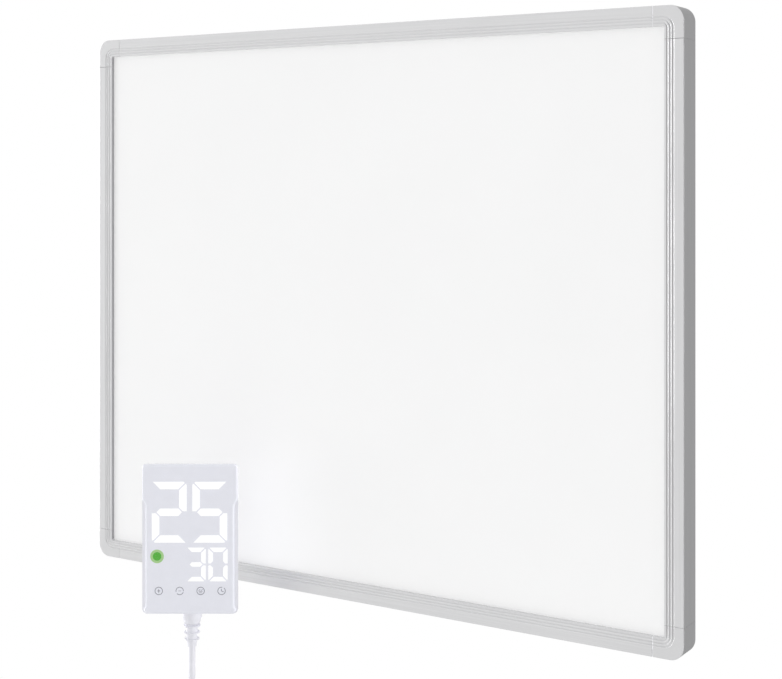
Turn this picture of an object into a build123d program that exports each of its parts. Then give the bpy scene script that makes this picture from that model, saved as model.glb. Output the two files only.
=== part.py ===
from build123d import *
from math import cos, dist, hypot, pi, radians, sin, tan
import os

# Infrared panel heater that hangs on a wall, with a plug-in controller on its lead.
# Millimetres. X runs to the right as seen from the room, Y runs into the wall, Z up.
# The origin is the middle of the wall rail's four screw holes, on the wall's surface.

# ---- Panel: outside sizes ----
panel_width = 600.0
panel_height = 500.0
frame_depth = 24.0          # front face to back of the frame
wall_gap = 27.0             # back of the frame to the wall
hang_drop = 110.0           # the panel's top edge above the wall rail's screw holes

# ---- Frame extrusion: u runs in from the outer edge, v runs back from the front face ----
frame_face = 16.0           # width of the face seen from the front
face_wall = 1.8
outer_wall = 1.6
chamber_width = 6.0         # hollow that takes the corner pieces' tenons
web_wall = 1.2
back_wall = 1.6
back_lip = 13.0
lip_wall = 1.4              # return that bears on the heating sheet
sheet_recess = 3.4          # front face to heating sheet
groove_count = 3
groove_pitch = 2.4
groove_width = 1.6
groove_depth = 0.46
edge_round = 0.6
inner_round = 1.5           # where the face turns the inner corner

# ---- Corner pieces ----
corner_radius = 12.0
corner_arm = 26.0
joint_gap = 0.1
end_bevel = 0.4             # on the front edge of each end
tenon_length = 22.0
tenon_gap = 0.15

# ---- Layers behind the front ----
stack_gap = 0.5             # edge of the layers to the frame's web
sheet_thickness = 0.8
sheet_corner = 2.0
film_thickness = 0.4
film_margin = 14.0          # bare rim of the sheet round the film
busbar_width = 10.0
busbar_thickness = 0.3
busbar_inset = 6.0          # film edge to busbar
foil_thickness = 0.3
plate_thickness = 0.6       # back plate

# ---- Wall rail and hook rail ----
rail_sheet = 2.0
rail_length = 400.0
rail_drop = 20.0            # below the screw holes
rail_rise = 18.0            # above the screw holes
rail_reach = 12.0           # wall to the front of the upstand
upstand_height = 12.0
hole_spacing_x = 340.0
hole_spacing_z = 16.0
hole_radius = 2.75
hook_length = 360.0
hook_base = 22.0            # height of the hook rail's foot on the back plate
hook_seat = 0.3             # running gap between hook and upstand
hook_wall_gap = 5.0         # hook flange to the wall
hook_overlap = 11.4         # how far the flange drops behind the upstand
rivet_radius = 2.0
rivet_head = 3.4
rivet_head_height = 1.2
rivet_count = 4
rivet_spacing = 104.0

# ---- Screws ----
screw_gap = 0.05            # radial gap round a shank
corner_screw = 1.45         # shank radius
corner_screw_length = 8.0
corner_screw_place = 9.0    # from the corner joint along the rail
small_head = 2.7
small_head_height = 1.6
cross_width = 0.7

# ---- Lower spacers ----
spacer_inset_x = 40.0       # panel side to spacer
spacer_inset_z = 25.0       # panel bottom to spacer
spacer_base = 11.0
spacer_tip = 8.0
spacer_bore = 4.0
spacer_floor = 7.0
spacer_screw = 1.75
pad_thickness = 3.0

# ---- Junction box on the back ----
inlet_inset = 79.35         # panel's left side to the lead's axis in the box
lead_y = -17.4
box_width = 56.0
box_height = 60.0
box_rise = 183.0            # panel's lower edge to the box's middle
box_wall_gap = 6.0          # back of the box to the wall
box_wall = 2.0
box_corner = 4.0
cover_thickness = 2.2
box_boss = 3.5
box_boss_inset = 4.5
box_screw = 1.45
box_screw_length = 9.0
terminal_size = (32.0, 12.0, 12.0)
terminal_pitch = 8.0
terminal_screw = 1.6
terminal_rise = 0.0         # terminal block's middle to the box's middle
wire_rise = 17.0            # wire slot above the box's middle
slot_width = 36.0
slot_height = 10.0
grommet_wall = 1.2
wire_radius = 1.1
wire_bend = 4.0
cutout_radius = 8.0
cutout_height = 6.0
pocket_width = 54.0
pocket_height = 24.0
stud_radius = 2.0
stud_height = 12.0
stud_offset = (22.0, -4.0)
nut_radius = 4.0
nut_height = 3.2
fixing_offset = 22.0        # box fixing screws, either side of the wire slot

# ---- Lead, strain reliefs and clamps ----
lead_diameter = 6.0
lead_clearance = 0.05
inlet_neck = 5.4            # radius through the box's wall
inlet_flange = 7.0
inlet_collar = 3.0          # height of the collar outside the box
inlet_taper_length = 24.0
inlet_tip = 4.2
clamp_height = 5.0
clamp_width = 24.0
clamp_thickness = 3.0
clamp_screw = 1.25
clamp_screw_place = 8.5
clamp_post = 2.6
core_radius = 0.9

# ---- Coil of spare lead behind the panel ----
coil_rise = 70.0            # panel's lower edge to the coil's middle
coil_radius = 48.3          # of the outermost turn
coil_pitch = 6.7
coil_layer = 6.7
half_turns_in = 7
half_turns_out = 6
climb_inset = 0.8           # the climbing half turn lies this much tighter
tie_width = 5.0
tie_thickness = 1.2
tie_gap = 0.35
tie_base = 14.0

# ---- Controller: x right, y back from its face, z up, from the middle of its face ----
controller_inset = 178.1    # panel's left side to the face's middle
controller_out = 76.2       # panel's front to the face's middle
controller_rise = 53.9      # panel's lower edge to the face's middle
controller_turn = 32.49     # about Z
body_width = 83.1
body_height = 129.7
body_depth = 30.0
body_corner = 3.0
body_wall = 2.2
face_thickness = 2.6
face_edge = 2.0
rim_depth = 5.0
side_draft = 5.0
top_draft = 6.5
grip_inset = 3.0
grip_top_drop = 28.8        # cover's top edge to the start of the grip
grip_foot_rise = 3.2        # cover's bottom edge to the end of the grip
grip_run = 8.0
grip_bottom_run = 5.0
grip_bottom_inset = 1.6
shell_back_round = 1.5

# ---- Controller: display, lamp and keys. Rises are from the cover's bottom edge ----
window_gap = 0.05
digit_slit = 0.9
large_digit_stroke = 6.4
large_digit_inset = 8.75    # cover's left side to the first digit
large_digit_end = 9.1       # last digit to the cover's right side
large_digit_gap = 5.05
large_digit_rise = 62.05
large_digit_drop = 14.95    # cover's top edge to the digits
small_digit_width = 16.6
small_digit_height = 29.2
small_digit_stroke = 3.8
small_digit_gap = 2.4
small_digit_rise = 28.55
small_digit_end = 8.75      # last digit to the cover's right side
lamp_inset = 13.25
lamp_rise = 50.15
lamp_radius = 3.7
lamp_ring = 5.9
key_count = 4
key_inset = 14.75           # cover's left side to the first key
key_end = 13.95             # last key to the cover's right side
key_rise = 20.25
key_pad = 4.0

# ---- Controller: inside ----
board_front = 8.0
board_thickness = 1.6
board_inset = 6.55          # body's side to the board's edge
board_rise = 13.85          # cover's bottom edge to the board
board_drop = 15.05          # cover's top edge to the board
board_post = 2.5
board_screw = 1.2
board_screw_length = 8.0
board_screw_inset = 4.0     # board's edge to its upper screws
board_screw_drop = 15.8
board_screw_rise = 21.0     # board's foot to its lower screw
module_inset = 2.0          # board's left edge to the module
module_rise = 6.0           # board's foot to the module
module_size = (22.0, 15.0, 30.0)         # along X, Y and Z, and so below
relay_size = (19.0, 15.0, 15.5)
relay_rise = 11.0
post_clearance = 3.0        # module to post
relay_clearance = 7.0       # post to relay
capacitor_inset = 11.0      # board's left edge to the capacitor's middle
capacitor_drop = 27.8
capacitor_radius = 5.0
capacitor_length = 14.0
shell_screw_inset = 10.55   # cover's side to its screws
shell_screw_drop = 11.25
shell_screw_rise = 8.85
shell_post = 3.2
post_meeting = 14.0
screw_seat = 22.0
shell_screw = 1.45
shell_screw_length = 16.0
sensor_inset = 13.0         # board's right edge to the sensor
sensor_rise = 5.0
sensor_radius = 1.8
sensor_length = 5.0
vent_places = (14.0, 18.0, 22.0, 26.0)
vent_width = 1.6
ledge_depth = 1.6           # ledge round the shell's mouth, behind the cover's edge
ledge_reach = 0.8           # how far it reaches past the grip

# ---- Controller: plug ----
plug_drop = 42.85           # cover's top edge to the plug's middle
boss_radius = 18.5
boss_wall = 2.2
boss_length = 17.5
insert_thickness = 6.0
pin_radius = 2.4
pin_length = 19.0
pin_spacing = 19.0
pin_root = 3.0              # the pin's end inside, behind the insert
pin_neck = 1.9              # radius where the insert holds the pin
pin_step = 0.5              # the neck's length outside the insert
earth_width = 4.8
earth_thickness = 1.4
earth_strap = 0.8

# ---- Controller: strain relief ----
boot_y = 15.0
boot_neck = 5.4
boot_flange = 7.5           # radius inside the shell
boot_head = 8.85            # radius of the head under the shell
boot_head_height = 6.6
boot_collar = (7.9, 7.5)    # top and foot radius of the collar under the head
boot_collar_height = 4.0
boot_rib_radii = (7.4, 7.0, 6.5)
boot_rib_pitch = 5.8
boot_rib_height = 1.0
boot_rib_slope = 0.35       # height of each rib's slope at its root
boot_core = 5.3
boot_tip = 3.9
boot_tip_height = 6.5       # last rib to the tip

# ---- Lead's hanging loop: share of the way from coil to controller, and height
# over the panel's lower edge ----
loop_shape = ((0.0, 0.0), (0.035, -66.0), (0.234, -118.0),
              (0.543, -134.0), (0.838, -117.0), (1.0, -80.0))

# ---- Worked out from the sizes above ----
face_y = -wall_gap - frame_depth
top_z = hang_drop
bottom_z = top_z - panel_height
mid_z = (top_z + bottom_z) / 2
inlet_x = -panel_width / 2 + inlet_inset
box_z = bottom_z + box_rise
coil_z = bottom_z + coil_rise
cover_half = body_width / 2                # controller cover's middle to its side
cover_top = body_height / 2
cover_foot = -body_height / 2
grip_top = cover_top - grip_top_drop
grip_bottom = cover_foot + grip_foot_rise
large_digit_width = (body_width - large_digit_inset - large_digit_gap - large_digit_end) / 2
large_digit_foot = cover_foot + large_digit_rise
large_digit = (large_digit_width, cover_top - large_digit_drop - large_digit_foot, large_digit_stroke)
large_digits = (("2", large_digit_inset - cover_half),
                ("5", cover_half - large_digit_end - large_digit_width))
small_digit = (small_digit_width, small_digit_height, small_digit_stroke)
small_digit_foot = cover_foot + small_digit_rise
small_digit_last = cover_half - small_digit_end - small_digit_width
small_digits = (("3", small_digit_last - small_digit_gap - small_digit_width),
                ("0", small_digit_last))
lamp_place = (lamp_inset - cover_half, cover_foot + lamp_rise)
key_step = (body_width - key_inset - key_end) / (key_count - 1)
key_places = [key_inset - cover_half + key_step * i for i in range(key_count)]
key_height = cover_foot + key_rise
board_half_width = cover_half - board_inset
boot_length = (boot_head_height + boot_collar_height + boot_rib_height / 2 + boot_tip_height
               + boot_rib_pitch * (len(boot_rib_radii) - 0.5))
board_foot = cover_foot + board_rise
board_head = cover_top - board_drop
module_x = (module_inset - board_half_width, module_inset - board_half_width + module_size[0])
lower_post_x = module_x[1] + post_clearance + board_post
relay_x = (lower_post_x + board_post + relay_clearance,
           lower_post_x + board_post + relay_clearance + relay_size[0])
board_screws = (
    (board_screw_inset - board_half_width, board_head - board_screw_drop),
    (board_half_width - board_screw_inset, board_head - board_screw_drop),
    (lower_post_x, board_foot + board_screw_rise),
)
shell_screws = [(x, z) for z in (cover_top - shell_screw_drop, cover_foot + shell_screw_rise)
                for x in (shell_screw_inset - cover_half, cover_half - shell_screw_inset)]
sensor_place = (board_half_width - sensor_inset, board_foot + sensor_rise)
plug_z = cover_top - plug_drop
chamber_end = outer_wall + chamber_width
web_end = chamber_end + web_wall
stack_edge = web_end + stack_gap
sheet_back = sheet_recess + sheet_thickness
film_back = sheet_back + film_thickness
busbar_back = film_back + busbar_thickness
foil_back = busbar_back + foil_thickness
plate_back = frame_depth - back_wall
plate_front = plate_back - plate_thickness
plate_y = face_y + plate_back              # back plate's surface towards the wall
lead_radius = lead_diameter / 2
box_back = -box_wall_gap
box_floor = plate_y + box_wall
cover_front = box_back - cover_thickness
box_low = box_z - box_height / 2
box_high = box_z + box_height / 2
wire_z = box_z + wire_rise
coil_x = inlet_x + coil_radius


# ---- Plain shapes ----

def block(x, y, z):
    """A box from its low and high side on each axis."""
    middle = [(low + high) / 2 for low, high in (x, y, z)]
    return Pos(*middle) * Box(x[1] - x[0], y[1] - y[0], z[1] - z[0])


def rod(start, direction, radius, length):
    """A round bar that runs from start along direction."""
    return extrude(Plane(origin=start, z_dir=direction) * Circle(radius), amount=length)


def front_plane(y, x=0.0, z=0.0):
    """The plane that a viewer in the room looks at: x right, z up, normal towards the room."""
    return Plane(origin=(x, y, z), x_dir=(1, 0, 0), z_dir=(0, -1, 0))


def plate(outline, near, far, x=0.0, z=0.0):
    """An outline drawn as seen from the room, made solid from the depth near back to far."""
    return extrude(front_plane(far, x, z) * outline, amount=far - near)


def turned(profile, x, y):
    """A round piece on an upright axis, from its (radius, height) points."""
    points = [(0, profile[0][1])] + list(profile) + [(0, profile[-1][1])]
    half = make_face(Polyline(*points, close=True))
    return Pos(x, y, 0) * revolve(Plane.XZ * half, axis=Axis.Z)


def screw(seat, direction, shank, length, head=small_head, height=small_head_height):
    """A pan-head screw. The seat is under its head, and direction is the way it points."""
    under = Plane(origin=seat, z_dir=direction)
    body = extrude(under * Circle(shank), amount=length)
    body += under.location * Rot(180, 0, 0) * Cone(
        head, 0.8 * head, height, align=(Align.CENTER, Align.CENTER, Align.MIN)
    )
    for turn in (0, 90):
        slot = Box(1.1 * head, cross_width, height)
        body -= under.offset(-height).location * Rot(0, 0, turn) * slot
    return body


def bend_radii(points):
    """For each corner of a route, the largest arc that its two runs allow."""
    radii = []
    for before, here, after in zip(points, points[1:], points[2:]):
        come = Vector(*here) - Vector(*before)
        go = Vector(*after) - Vector(*here)
        half = radians(come.get_angle(go)) / 2
        radii.append(0.45 * min(come.length, go.length) / tan(half))
    return radii


def tube(points, radii, radius):
    """A round tube along straight runs joined by tangent arcs."""
    path = FilletPolyline(*points, radius=radii)
    return sweep(Plane(origin=path @ 0, z_dir=path % 0) * Circle(radius), path=path)


# ---- Frame ----

def strip(u, v):
    """A rectangle of the frame's section."""
    middle = Pos((u[0] + u[1]) / 2, (v[0] + v[1]) / 2)
    return middle * Rectangle(u[1] - u[0], v[1] - v[0])


def groove_places():
    """How far in from the outer edge each groove runs."""
    return [frame_face - groove_pitch * (i + 1) for i in range(groove_count)]


def groove_section():
    """A V that opens at the front face."""
    mouth = groove_width / 2
    return make_face(Polyline((-mouth, 0), (mouth, 0), (0, groove_depth), close=True))


def frame_section():
    """Section of the frame rail, with a chamber for the tenons and a slot for the layers."""
    section = strip((0, frame_face), (0, face_wall))
    section += strip((0, outer_wall), (0, frame_depth))
    section += strip((chamber_end, web_end), (0, frame_depth))
    section += strip((frame_face - lip_wall, frame_face), (0, sheet_recess))
    section += strip((0, back_lip), (plate_back, frame_depth))
    for place in groove_places():
        section -= Pos(place, 0) * groove_section()
    edges = [section.vertices().sort_by_distance(at)[0] for at in ((0, 0), (0, frame_depth))]
    return fillet(edges, edge_round)


def corner_screw_hole(along, length, radius):
    """Where the screw of a corner piece goes through, on the top rail's right end."""
    across = (outer_wall + chamber_end) / 2
    seat = (-corner_arm - along, frame_depth, -across)
    return rod(seat, (0, -1, 0), radius, length)


def frame_rail(length, reach, turn):
    """One side of the frame: made as the top rail, then turned about the panel's middle."""
    span = length - 2 * corner_arm - 2 * joint_gap
    start = Plane(origin=(0, face_y, reach), x_dir=(0, 0, -1), z_dir=(1, 0, 0))
    rail = extrude(start * frame_section(), amount=span / 2, both=True)
    for side in (-1, 1):
        across = (outer_wall + chamber_end) / 2
        place = side * (length / 2 - corner_arm - corner_screw_place)
        seat = (place, face_y + frame_depth + 1, reach - across)
        rail -= rod(seat, (0, -1, 0), corner_screw + screw_gap, back_wall + 2)
    return Pos(0, 0, mid_z) * Rot(0, turn, 0) * rail


def corner_plane(v):
    """Plane for the corner piece: x and y run in from its two outer edges."""
    return Plane(origin=(0, v, 0), x_dir=(-1, 0, 0), z_dir=(0, -1, 0))


def ell(inner, outer, v, round_out=0.0, round_in=0.0):
    """An L-shaped slab between two insets from the outer edges."""
    outline = make_face(Polyline(
        (inner, corner_arm), (inner, inner), (corner_arm, inner),
        (corner_arm, outer), (outer, outer), (outer, corner_arm), close=True,
    ))
    if round_out:
        outline = fillet(outline.vertices().sort_by_distance((inner, inner))[0], round_out)
    if round_in:
        outline = fillet(outline.vertices().sort_by_distance((outer, outer))[0], round_in)
    return extrude(corner_plane(v[1]) * outline, amount=v[1] - v[0])


def corner_end_bevels():
    """Wedges that bevel the front edge at the ends of a corner piece's two arms."""
    outline = make_face(Polyline(
        (-corner_arm - 1, -1), (end_bevel + 1 - corner_arm, -1),
        (-corner_arm - 1, end_bevel + 1), close=True,
    ))
    along_x = Plane(origin=(0, 0, -frame_face - 1), x_dir=(1, 0, 0), z_dir=(0, 0, 1))
    along_z = Plane(origin=(1, 0, 0), x_dir=(0, 0, 1), z_dir=(-1, 0, 0))
    return [extrude(start * outline, amount=frame_face + 2) for start in (along_x, along_z)]


def corner_piece():
    """A moulded corner, made as the top right one with its outer corner at the origin."""
    piece = ell(0, web_end, (0, frame_depth), corner_radius)
    piece += ell(0, frame_face, (0, face_wall), corner_radius, inner_round)
    piece += ell(frame_face - lip_wall, frame_face, (0, sheet_recess), 0, inner_round)
    piece += ell(0, back_lip, (plate_back, frame_depth), corner_radius)
    outer_edges = [
        edge for edge in piece.edges()
        if abs(edge.center().Y - frame_depth / 2) > frame_depth / 2 - 0.01
        and min(-edge.center().X, -edge.center().Z) < corner_radius / 3
    ]
    piece = fillet(outer_edges, edge_round)
    for place in groove_places():
        run = corner_arm + 1
        path = corner_plane(0) * FilletPolyline(
            (place, run), (place, place), (run, place), radius=inner_round + frame_face - place
        )
        start = Plane(origin=path @ 0, x_dir=(1, 0, 0), z_dir=(0, 0, 1))
        piece -= sweep(start * groove_section(), path=path)
    for wedge in corner_end_bevels():
        piece -= wedge
    u = (outer_wall + tenon_gap, chamber_end - tenon_gap)
    v = (face_wall + tenon_gap, plate_back - tenon_gap)
    reach = (corner_arm - 1, corner_arm + tenon_length)
    across = (outer_wall + chamber_end) / 2
    for turn in (0, 1):
        sides = [(-u[1], -u[0]), (-reach[1], -reach[0])]
        sides = sides[::-1] if turn else sides
        tenon = block(sides[0], v, sides[1])
        along = -corner_arm - corner_screw_place
        seat = (along, frame_depth, -across) if turn else (-across, frame_depth, along)
        hole = rod(seat, (0, -1, 0), corner_screw + screw_gap, back_wall + corner_screw_length)
        piece += tenon - hole
    return piece


def corners():
    """Name, place and turn of each corner piece."""
    x, z = panel_width / 2, panel_height / 2
    return {
        "corner_top_right": (x, z, 0),
        "corner_bottom_right": (x, -z, 90),
        "corner_bottom_left": (-x, -z, 180),
        "corner_top_left": (-x, z, 270),
    }


def corner_screw_seats():
    """Where the two screws of each corner piece bear on the back of the frame."""
    across = (outer_wall + chamber_end) / 2
    along = corner_arm + corner_screw_place
    seats = []
    for x in (-1, 1):
        for z in (-1, 1):
            for inset_x, inset_z in ((along, across), (across, along)):
                seats.append((
                    x * (panel_width / 2 - inset_x),
                    -wall_gap,
                    mid_z + z * (panel_height / 2 - inset_z),
                ))
    return seats


# ---- Layers in the frame ----

def layer(edge, near, far, corner=0.0):
    """A sheet of the panel, inset by edge from the panel's outline."""
    width, height = panel_width - 2 * edge, panel_height - 2 * edge
    outline = RectangleRounded(width, height, corner) if corner else Rectangle(width, height)
    return plate(outline, face_y + near, face_y + far, 0, mid_z)


def wire_places():
    """Where the four inner wires cross the back plate, from left to right."""
    return [inlet_x + terminal_pitch * step for step in (-1.5, -0.5, 0.5, 1.5)]


def busbars():
    """Two copper strips down the film's sides, each with a tail to the wire slot."""
    y = (face_y + film_back, face_y + busbar_back)
    edge = panel_width / 2 - stack_edge - film_margin - busbar_inset
    low = bottom_z + stack_edge + film_margin + busbar_inset
    high = top_z - stack_edge - film_margin - busbar_inset
    half = busbar_width / 2
    left_wire, right_wire = wire_places()[0], wire_places()[-1]
    left = block((-edge, -edge + busbar_width), y, (low + 2 * busbar_width, high))
    left += block((-edge, left_wire + half), y, (wire_z - half, wire_z + half))
    right = block((edge - busbar_width, edge), y, (low, high))
    right += block((right_wire - half, edge), y, (low, low + busbar_width))
    right += block((right_wire - half, right_wire + half), y, (low, wire_z + half))
    return [left, right]


def reflector_foil():
    """Foil behind the film, pierced for the two wires that reach the busbars."""
    foil = layer(stack_edge, busbar_back, foil_back)
    for x in (wire_places()[0], wire_places()[-1]):
        foil -= rod((x, face_y, wire_z), (0, 1, 0), wire_radius + 0.5, frame_depth)
    return foil


def insulation_board():
    """Mineral board with a pocket for the cut-out and the wires."""
    x = (inlet_x - pocket_width / 2, inlet_x + pocket_width / 2)
    z = (wire_z - pocket_height / 2, wire_z + pocket_height / 2)
    return layer(stack_edge, foil_back, plate_front) - block(x, (face_y, 0), z)


def wire_slot(margin=0.0):
    """The slot through back plate and box floor, with a margin inside it."""
    outline = SlotOverall(slot_width - 2 * margin, slot_height - 2 * margin)
    return plate(outline, plate_y - 3, box_floor + 3, inlet_x, wire_z)


def rivet_places():
    """Where the hook rail is riveted to the back plate."""
    first = -(rivet_count - 1) / 2
    z = hook_web_z() + hook_base * 0.55
    return [((first + i) * rivet_spacing, z) for i in range(rivet_count)]


def spacer_places():
    """The two lower spacers, seen from the room."""
    x = panel_width / 2 - spacer_inset_x
    return [(side * x, bottom_z + spacer_inset_z) for side in (-1, 1)]


def box_fixings():
    """The two screws that hold the junction box to the back plate."""
    return [(inlet_x + side * fixing_offset, wire_z) for side in (-1, 1)]


def back_plate():
    """Steel plate that closes the panel, with its holes."""
    piece = layer(stack_edge, plate_front, plate_back) - wire_slot()
    for x, z in rivet_places():
        piece -= rod((x, face_y, z), (0, 1, 0), rivet_radius + screw_gap, frame_depth)
    for x, z in spacer_places():
        piece -= rod((x, face_y, z), (0, 1, 0), spacer_screw + screw_gap, frame_depth)
    for x, z in box_fixings():
        piece -= rod((x, face_y, z), (0, 1, 0), box_screw + screw_gap, frame_depth)
    return piece


# ---- Wall rail and hook rail ----

def hook_web_z():
    """Underside of the hook rail's shelf, just above the wall rail's upstand."""
    return rail_rise + upstand_height + hook_seat


def profile(points, length):
    """A folded sheet: its (y, z) outline made solid along X, about the middle."""
    return extrude(Plane.YZ * make_face(Polyline(*points, close=True)), amount=length / 2, both=True)


def wall_rail():
    """Rail screwed to the wall, with an upstand that the panel hangs on."""
    shelf, front = rail_rise - rail_sheet, -rail_reach
    tip = rail_rise + upstand_height
    rail = profile([
        (0, -rail_drop), (-rail_sheet, -rail_drop), (-rail_sheet, shelf), (front, shelf),
        (front, tip), (front + rail_sheet, tip), (front + rail_sheet, rail_rise), (0, rail_rise),
    ], rail_length)
    for x in (-hole_spacing_x / 2, hole_spacing_x / 2):
        for z in (-hole_spacing_z / 2, hole_spacing_z / 2):
            rail -= rod((x, 1, z), (0, -1, 0), hole_radius, rail_sheet + 2)
    return rail


def hook_rail():
    """Rail riveted to the back plate, with a flange that drops behind the upstand."""
    shelf = hook_web_z()
    back = -hook_wall_gap
    rail = profile([
        (plate_y, shelf), (plate_y, shelf + hook_base), (plate_y + rail_sheet, shelf + hook_base),
        (plate_y + rail_sheet, shelf + rail_sheet), (back, shelf + rail_sheet),
        (back, shelf - hook_overlap), (back - rail_sheet, shelf - hook_overlap),
        (back - rail_sheet, shelf),
    ], hook_length)
    for x, z in rivet_places():
        rail -= rod((x, face_y, z), (0, 1, 0), rivet_radius + screw_gap, frame_depth + wall_gap)
    return rail


def hook_rivets():
    """Rivets, with their heads towards the wall and their ends flush with the plate."""
    rivets = []
    seat = plate_y + rail_sheet
    for x, z in rivet_places():
        shank = rod((x, face_y + plate_front, z), (0, 1, 0), rivet_radius, seat - face_y - plate_front)
        head = Cone(rivet_head, 0.7 * rivet_head, rivet_head_height,
                    align=(Align.CENTER, Align.CENTER, Align.MIN))
        rivets.append(shank + Pos(x, seat, z) * Rot(-90, 0, 0) * head)
    return rivets


# ---- Lower spacers ----

def lower_spacers():
    """Cones that hold the panel's lower edge off the wall."""
    spacers = []
    height = -pad_thickness - plate_y
    for x, z in spacer_places():
        cone = Cone(spacer_base, spacer_tip, height, align=(Align.CENTER, Align.CENTER, Align.MIN))
        cone = Pos(x, plate_y, z) * Rot(-90, 0, 0) * cone
        cone -= rod((x, plate_y, z), (0, 1, 0), spacer_screw + screw_gap, height)
        cone -= rod((x, plate_y + spacer_floor, z), (0, 1, 0), spacer_bore, height)
        spacers.append(cone)
    return spacers


def spacer_pads():
    """Rubber ends that press on the wall."""
    return [rod((x, -pad_thickness, z), (0, 1, 0), spacer_tip, pad_thickness)
            for x, z in spacer_places()]


def spacer_screws():
    """Screws inside the spacers, flush with the front of the back plate."""
    length = spacer_floor + plate_thickness
    return [screw((x, plate_y + spacer_floor, z), (0, -1, 0), spacer_screw, length, 3.3, 2.0)
            for x, z in spacer_places()]


# ---- Junction box ----

def box_boss_places():
    """Screw bosses in the corners of the junction box."""
    x = box_width / 2 - box_boss_inset
    z = box_height / 2 - box_boss_inset
    return [(inlet_x + i * x, box_z + j * z) for i in (-1, 1) for j in (-1, 1)]


def clamp_z():
    """Middle of the lead clamp inside the junction box."""
    return box_low + box_wall + box_wall + 1 + clamp_height / 2


def junction_box_base():
    """Moulded box, open towards the wall, with bosses and a saddle for the lead."""
    outer = RectangleRounded(box_width, box_height, box_corner)
    inner = RectangleRounded(box_width - 2 * box_wall, box_height - 2 * box_wall, box_corner - box_wall)
    box = plate(outer, plate_y, cover_front, inlet_x, box_z)
    box -= plate(inner, box_floor, cover_front, inlet_x, box_z)
    inside = plate(outer, box_floor, cover_front, inlet_x, box_z)
    for x, z in box_boss_places():
        box += rod((x, box_floor, z), (0, 1, 0), box_boss, cover_front - box_floor) & inside
        box -= rod((x, cover_front, z), (0, -1, 0), box_screw + screw_gap, box_screw_length)
    low, high = clamp_z() - clamp_height / 2, clamp_z() + clamp_height / 2
    saddle = (box_floor, lead_y - lead_radius - lead_clearance)
    box += block((inlet_x - 4, inlet_x + 4), saddle, (low, high))
    top = lead_y + lead_radius + lead_clearance
    for side in (-1, 1):
        x = inlet_x + side * clamp_screw_place
        box += rod((x, box_floor, clamp_z()), (0, 1, 0), clamp_post, top - box_floor)
        box -= rod((x, top, clamp_z()), (0, -1, 0), clamp_screw + screw_gap, 7)
    box -= rod((inlet_x, lead_y, box_low - 1), (0, 0, 1), inlet_neck + lead_clearance, box_wall + 2)
    box -= wire_slot()
    for x, z in box_fixings():
        box -= rod((x, plate_y - 1, z), (0, 1, 0), box_screw + screw_gap, box_wall + 2)
    x, z = stud_place()
    return box - rod((x, plate_y - 1, z), (0, 1, 0), stud_radius + screw_gap, box_wall + 2)


def junction_box_cover():
    """Flat lid with a locating rim, drilled for its four screws."""
    outer = RectangleRounded(box_width, box_height, box_corner)
    lid = plate(outer, cover_front, box_back, inlet_x, box_z)
    for x, z in box_boss_places():
        lid -= rod((x, cover_front - 1, z), (0, 1, 0), box_screw + screw_gap, cover_thickness + 2)
    return lid


def junction_box_screws():
    """Four screws in the lid, and two inside that hold the box to the back plate."""
    lid = [screw((x, box_back, z), (0, -1, 0), box_screw, box_screw_length)
           for x, z in box_boss_places()]
    fixing = [screw((x, box_floor, z), (0, -1, 0), box_screw, box_wall + plate_thickness)
              for x, z in box_fixings()]
    return lid + fixing


def terminal_middle():
    """Height of the terminal block's middle."""
    return box_z + terminal_rise


def terminal_block():
    """Four-way block with a wire hole and a screw hole in each way."""
    width, depth, height = terminal_size
    y = (box_floor, box_floor + depth)
    z = terminal_middle()
    body = block((inlet_x - width / 2, inlet_x + width / 2), y, (z - height / 2, z + height / 2))
    for x in wire_places():
        body -= rod((x, y[1], z), (0, -1, 0), terminal_screw + screw_gap, depth / 2)
    return body


def terminal_screws():
    """Slotted screws that hold the wires."""
    depth = terminal_size[1]
    y = box_floor + depth
    screws = []
    for x in wire_places():
        body = rod((x, y - depth / 2, terminal_middle()), (0, 1, 0), terminal_screw, depth / 2 - 0.8)
        slot = block((x - 0.35, x + 0.35), (y - 1.6, y), [terminal_middle() + s * 2 for s in (-1, 1)])
        screws.append(body - slot)
    return screws


def stud_place():
    """Where the earth stud stands."""
    return inlet_x + stud_offset[0], box_z + stud_offset[1]


def earth_stud():
    """Stud welded to the back plate, and its nut on the box's floor."""
    x, z = stud_place()
    stud = rod((x, plate_y, z), (0, 1, 0), stud_radius, stud_height)
    nut = plate(RegularPolygon(nut_radius, 6), box_floor, box_floor + nut_height, x, z)
    nut -= rod((x, box_floor, z), (0, 1, 0), stud_radius + screw_gap, nut_height)
    return [stud, nut]


def wire_grommet():
    """Rubber lining of the wire slot, with a flange inside the box."""
    sleeve_out = SlotOverall(slot_width - 2 * screw_gap, slot_height - 2 * screw_gap)
    hole = SlotOverall(slot_width - 2 * grommet_wall, slot_height - 2 * grommet_wall)
    flange = SlotOverall(slot_width + 2 * grommet_wall, slot_height + 2 * grommet_wall)
    ring = plate(sleeve_out, face_y + plate_front, box_floor, inlet_x, wire_z)
    ring += plate(flange, box_floor, box_floor + 1, inlet_x, wire_z)
    ring -= plate(hole, face_y + plate_front, box_floor + 1, inlet_x, wire_z)
    return ring


def overheat_cutout():
    """Round bimetal cut-out that sits on the foil."""
    return rod((inlet_x, face_y + foil_back, wire_z), (0, 1, 0), cutout_radius, cutout_height)


def inner_wires():
    """Wires from the busbars and the cut-out into the top of the terminal block."""
    top = terminal_middle() + terminal_size[2] / 2
    y = box_floor + terminal_size[1] / 2
    starts = [face_y + busbar_back, face_y + foil_back + cutout_height]
    wires = []
    for index, x in enumerate(wire_places()):
        start = starts[0] if index in (0, 3) else starts[1]
        points = [(x, start, wire_z), (x, y, wire_z), (x, y, top)]
        wires.append(tube(points, wire_bend, wire_radius))
    return wires


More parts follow.
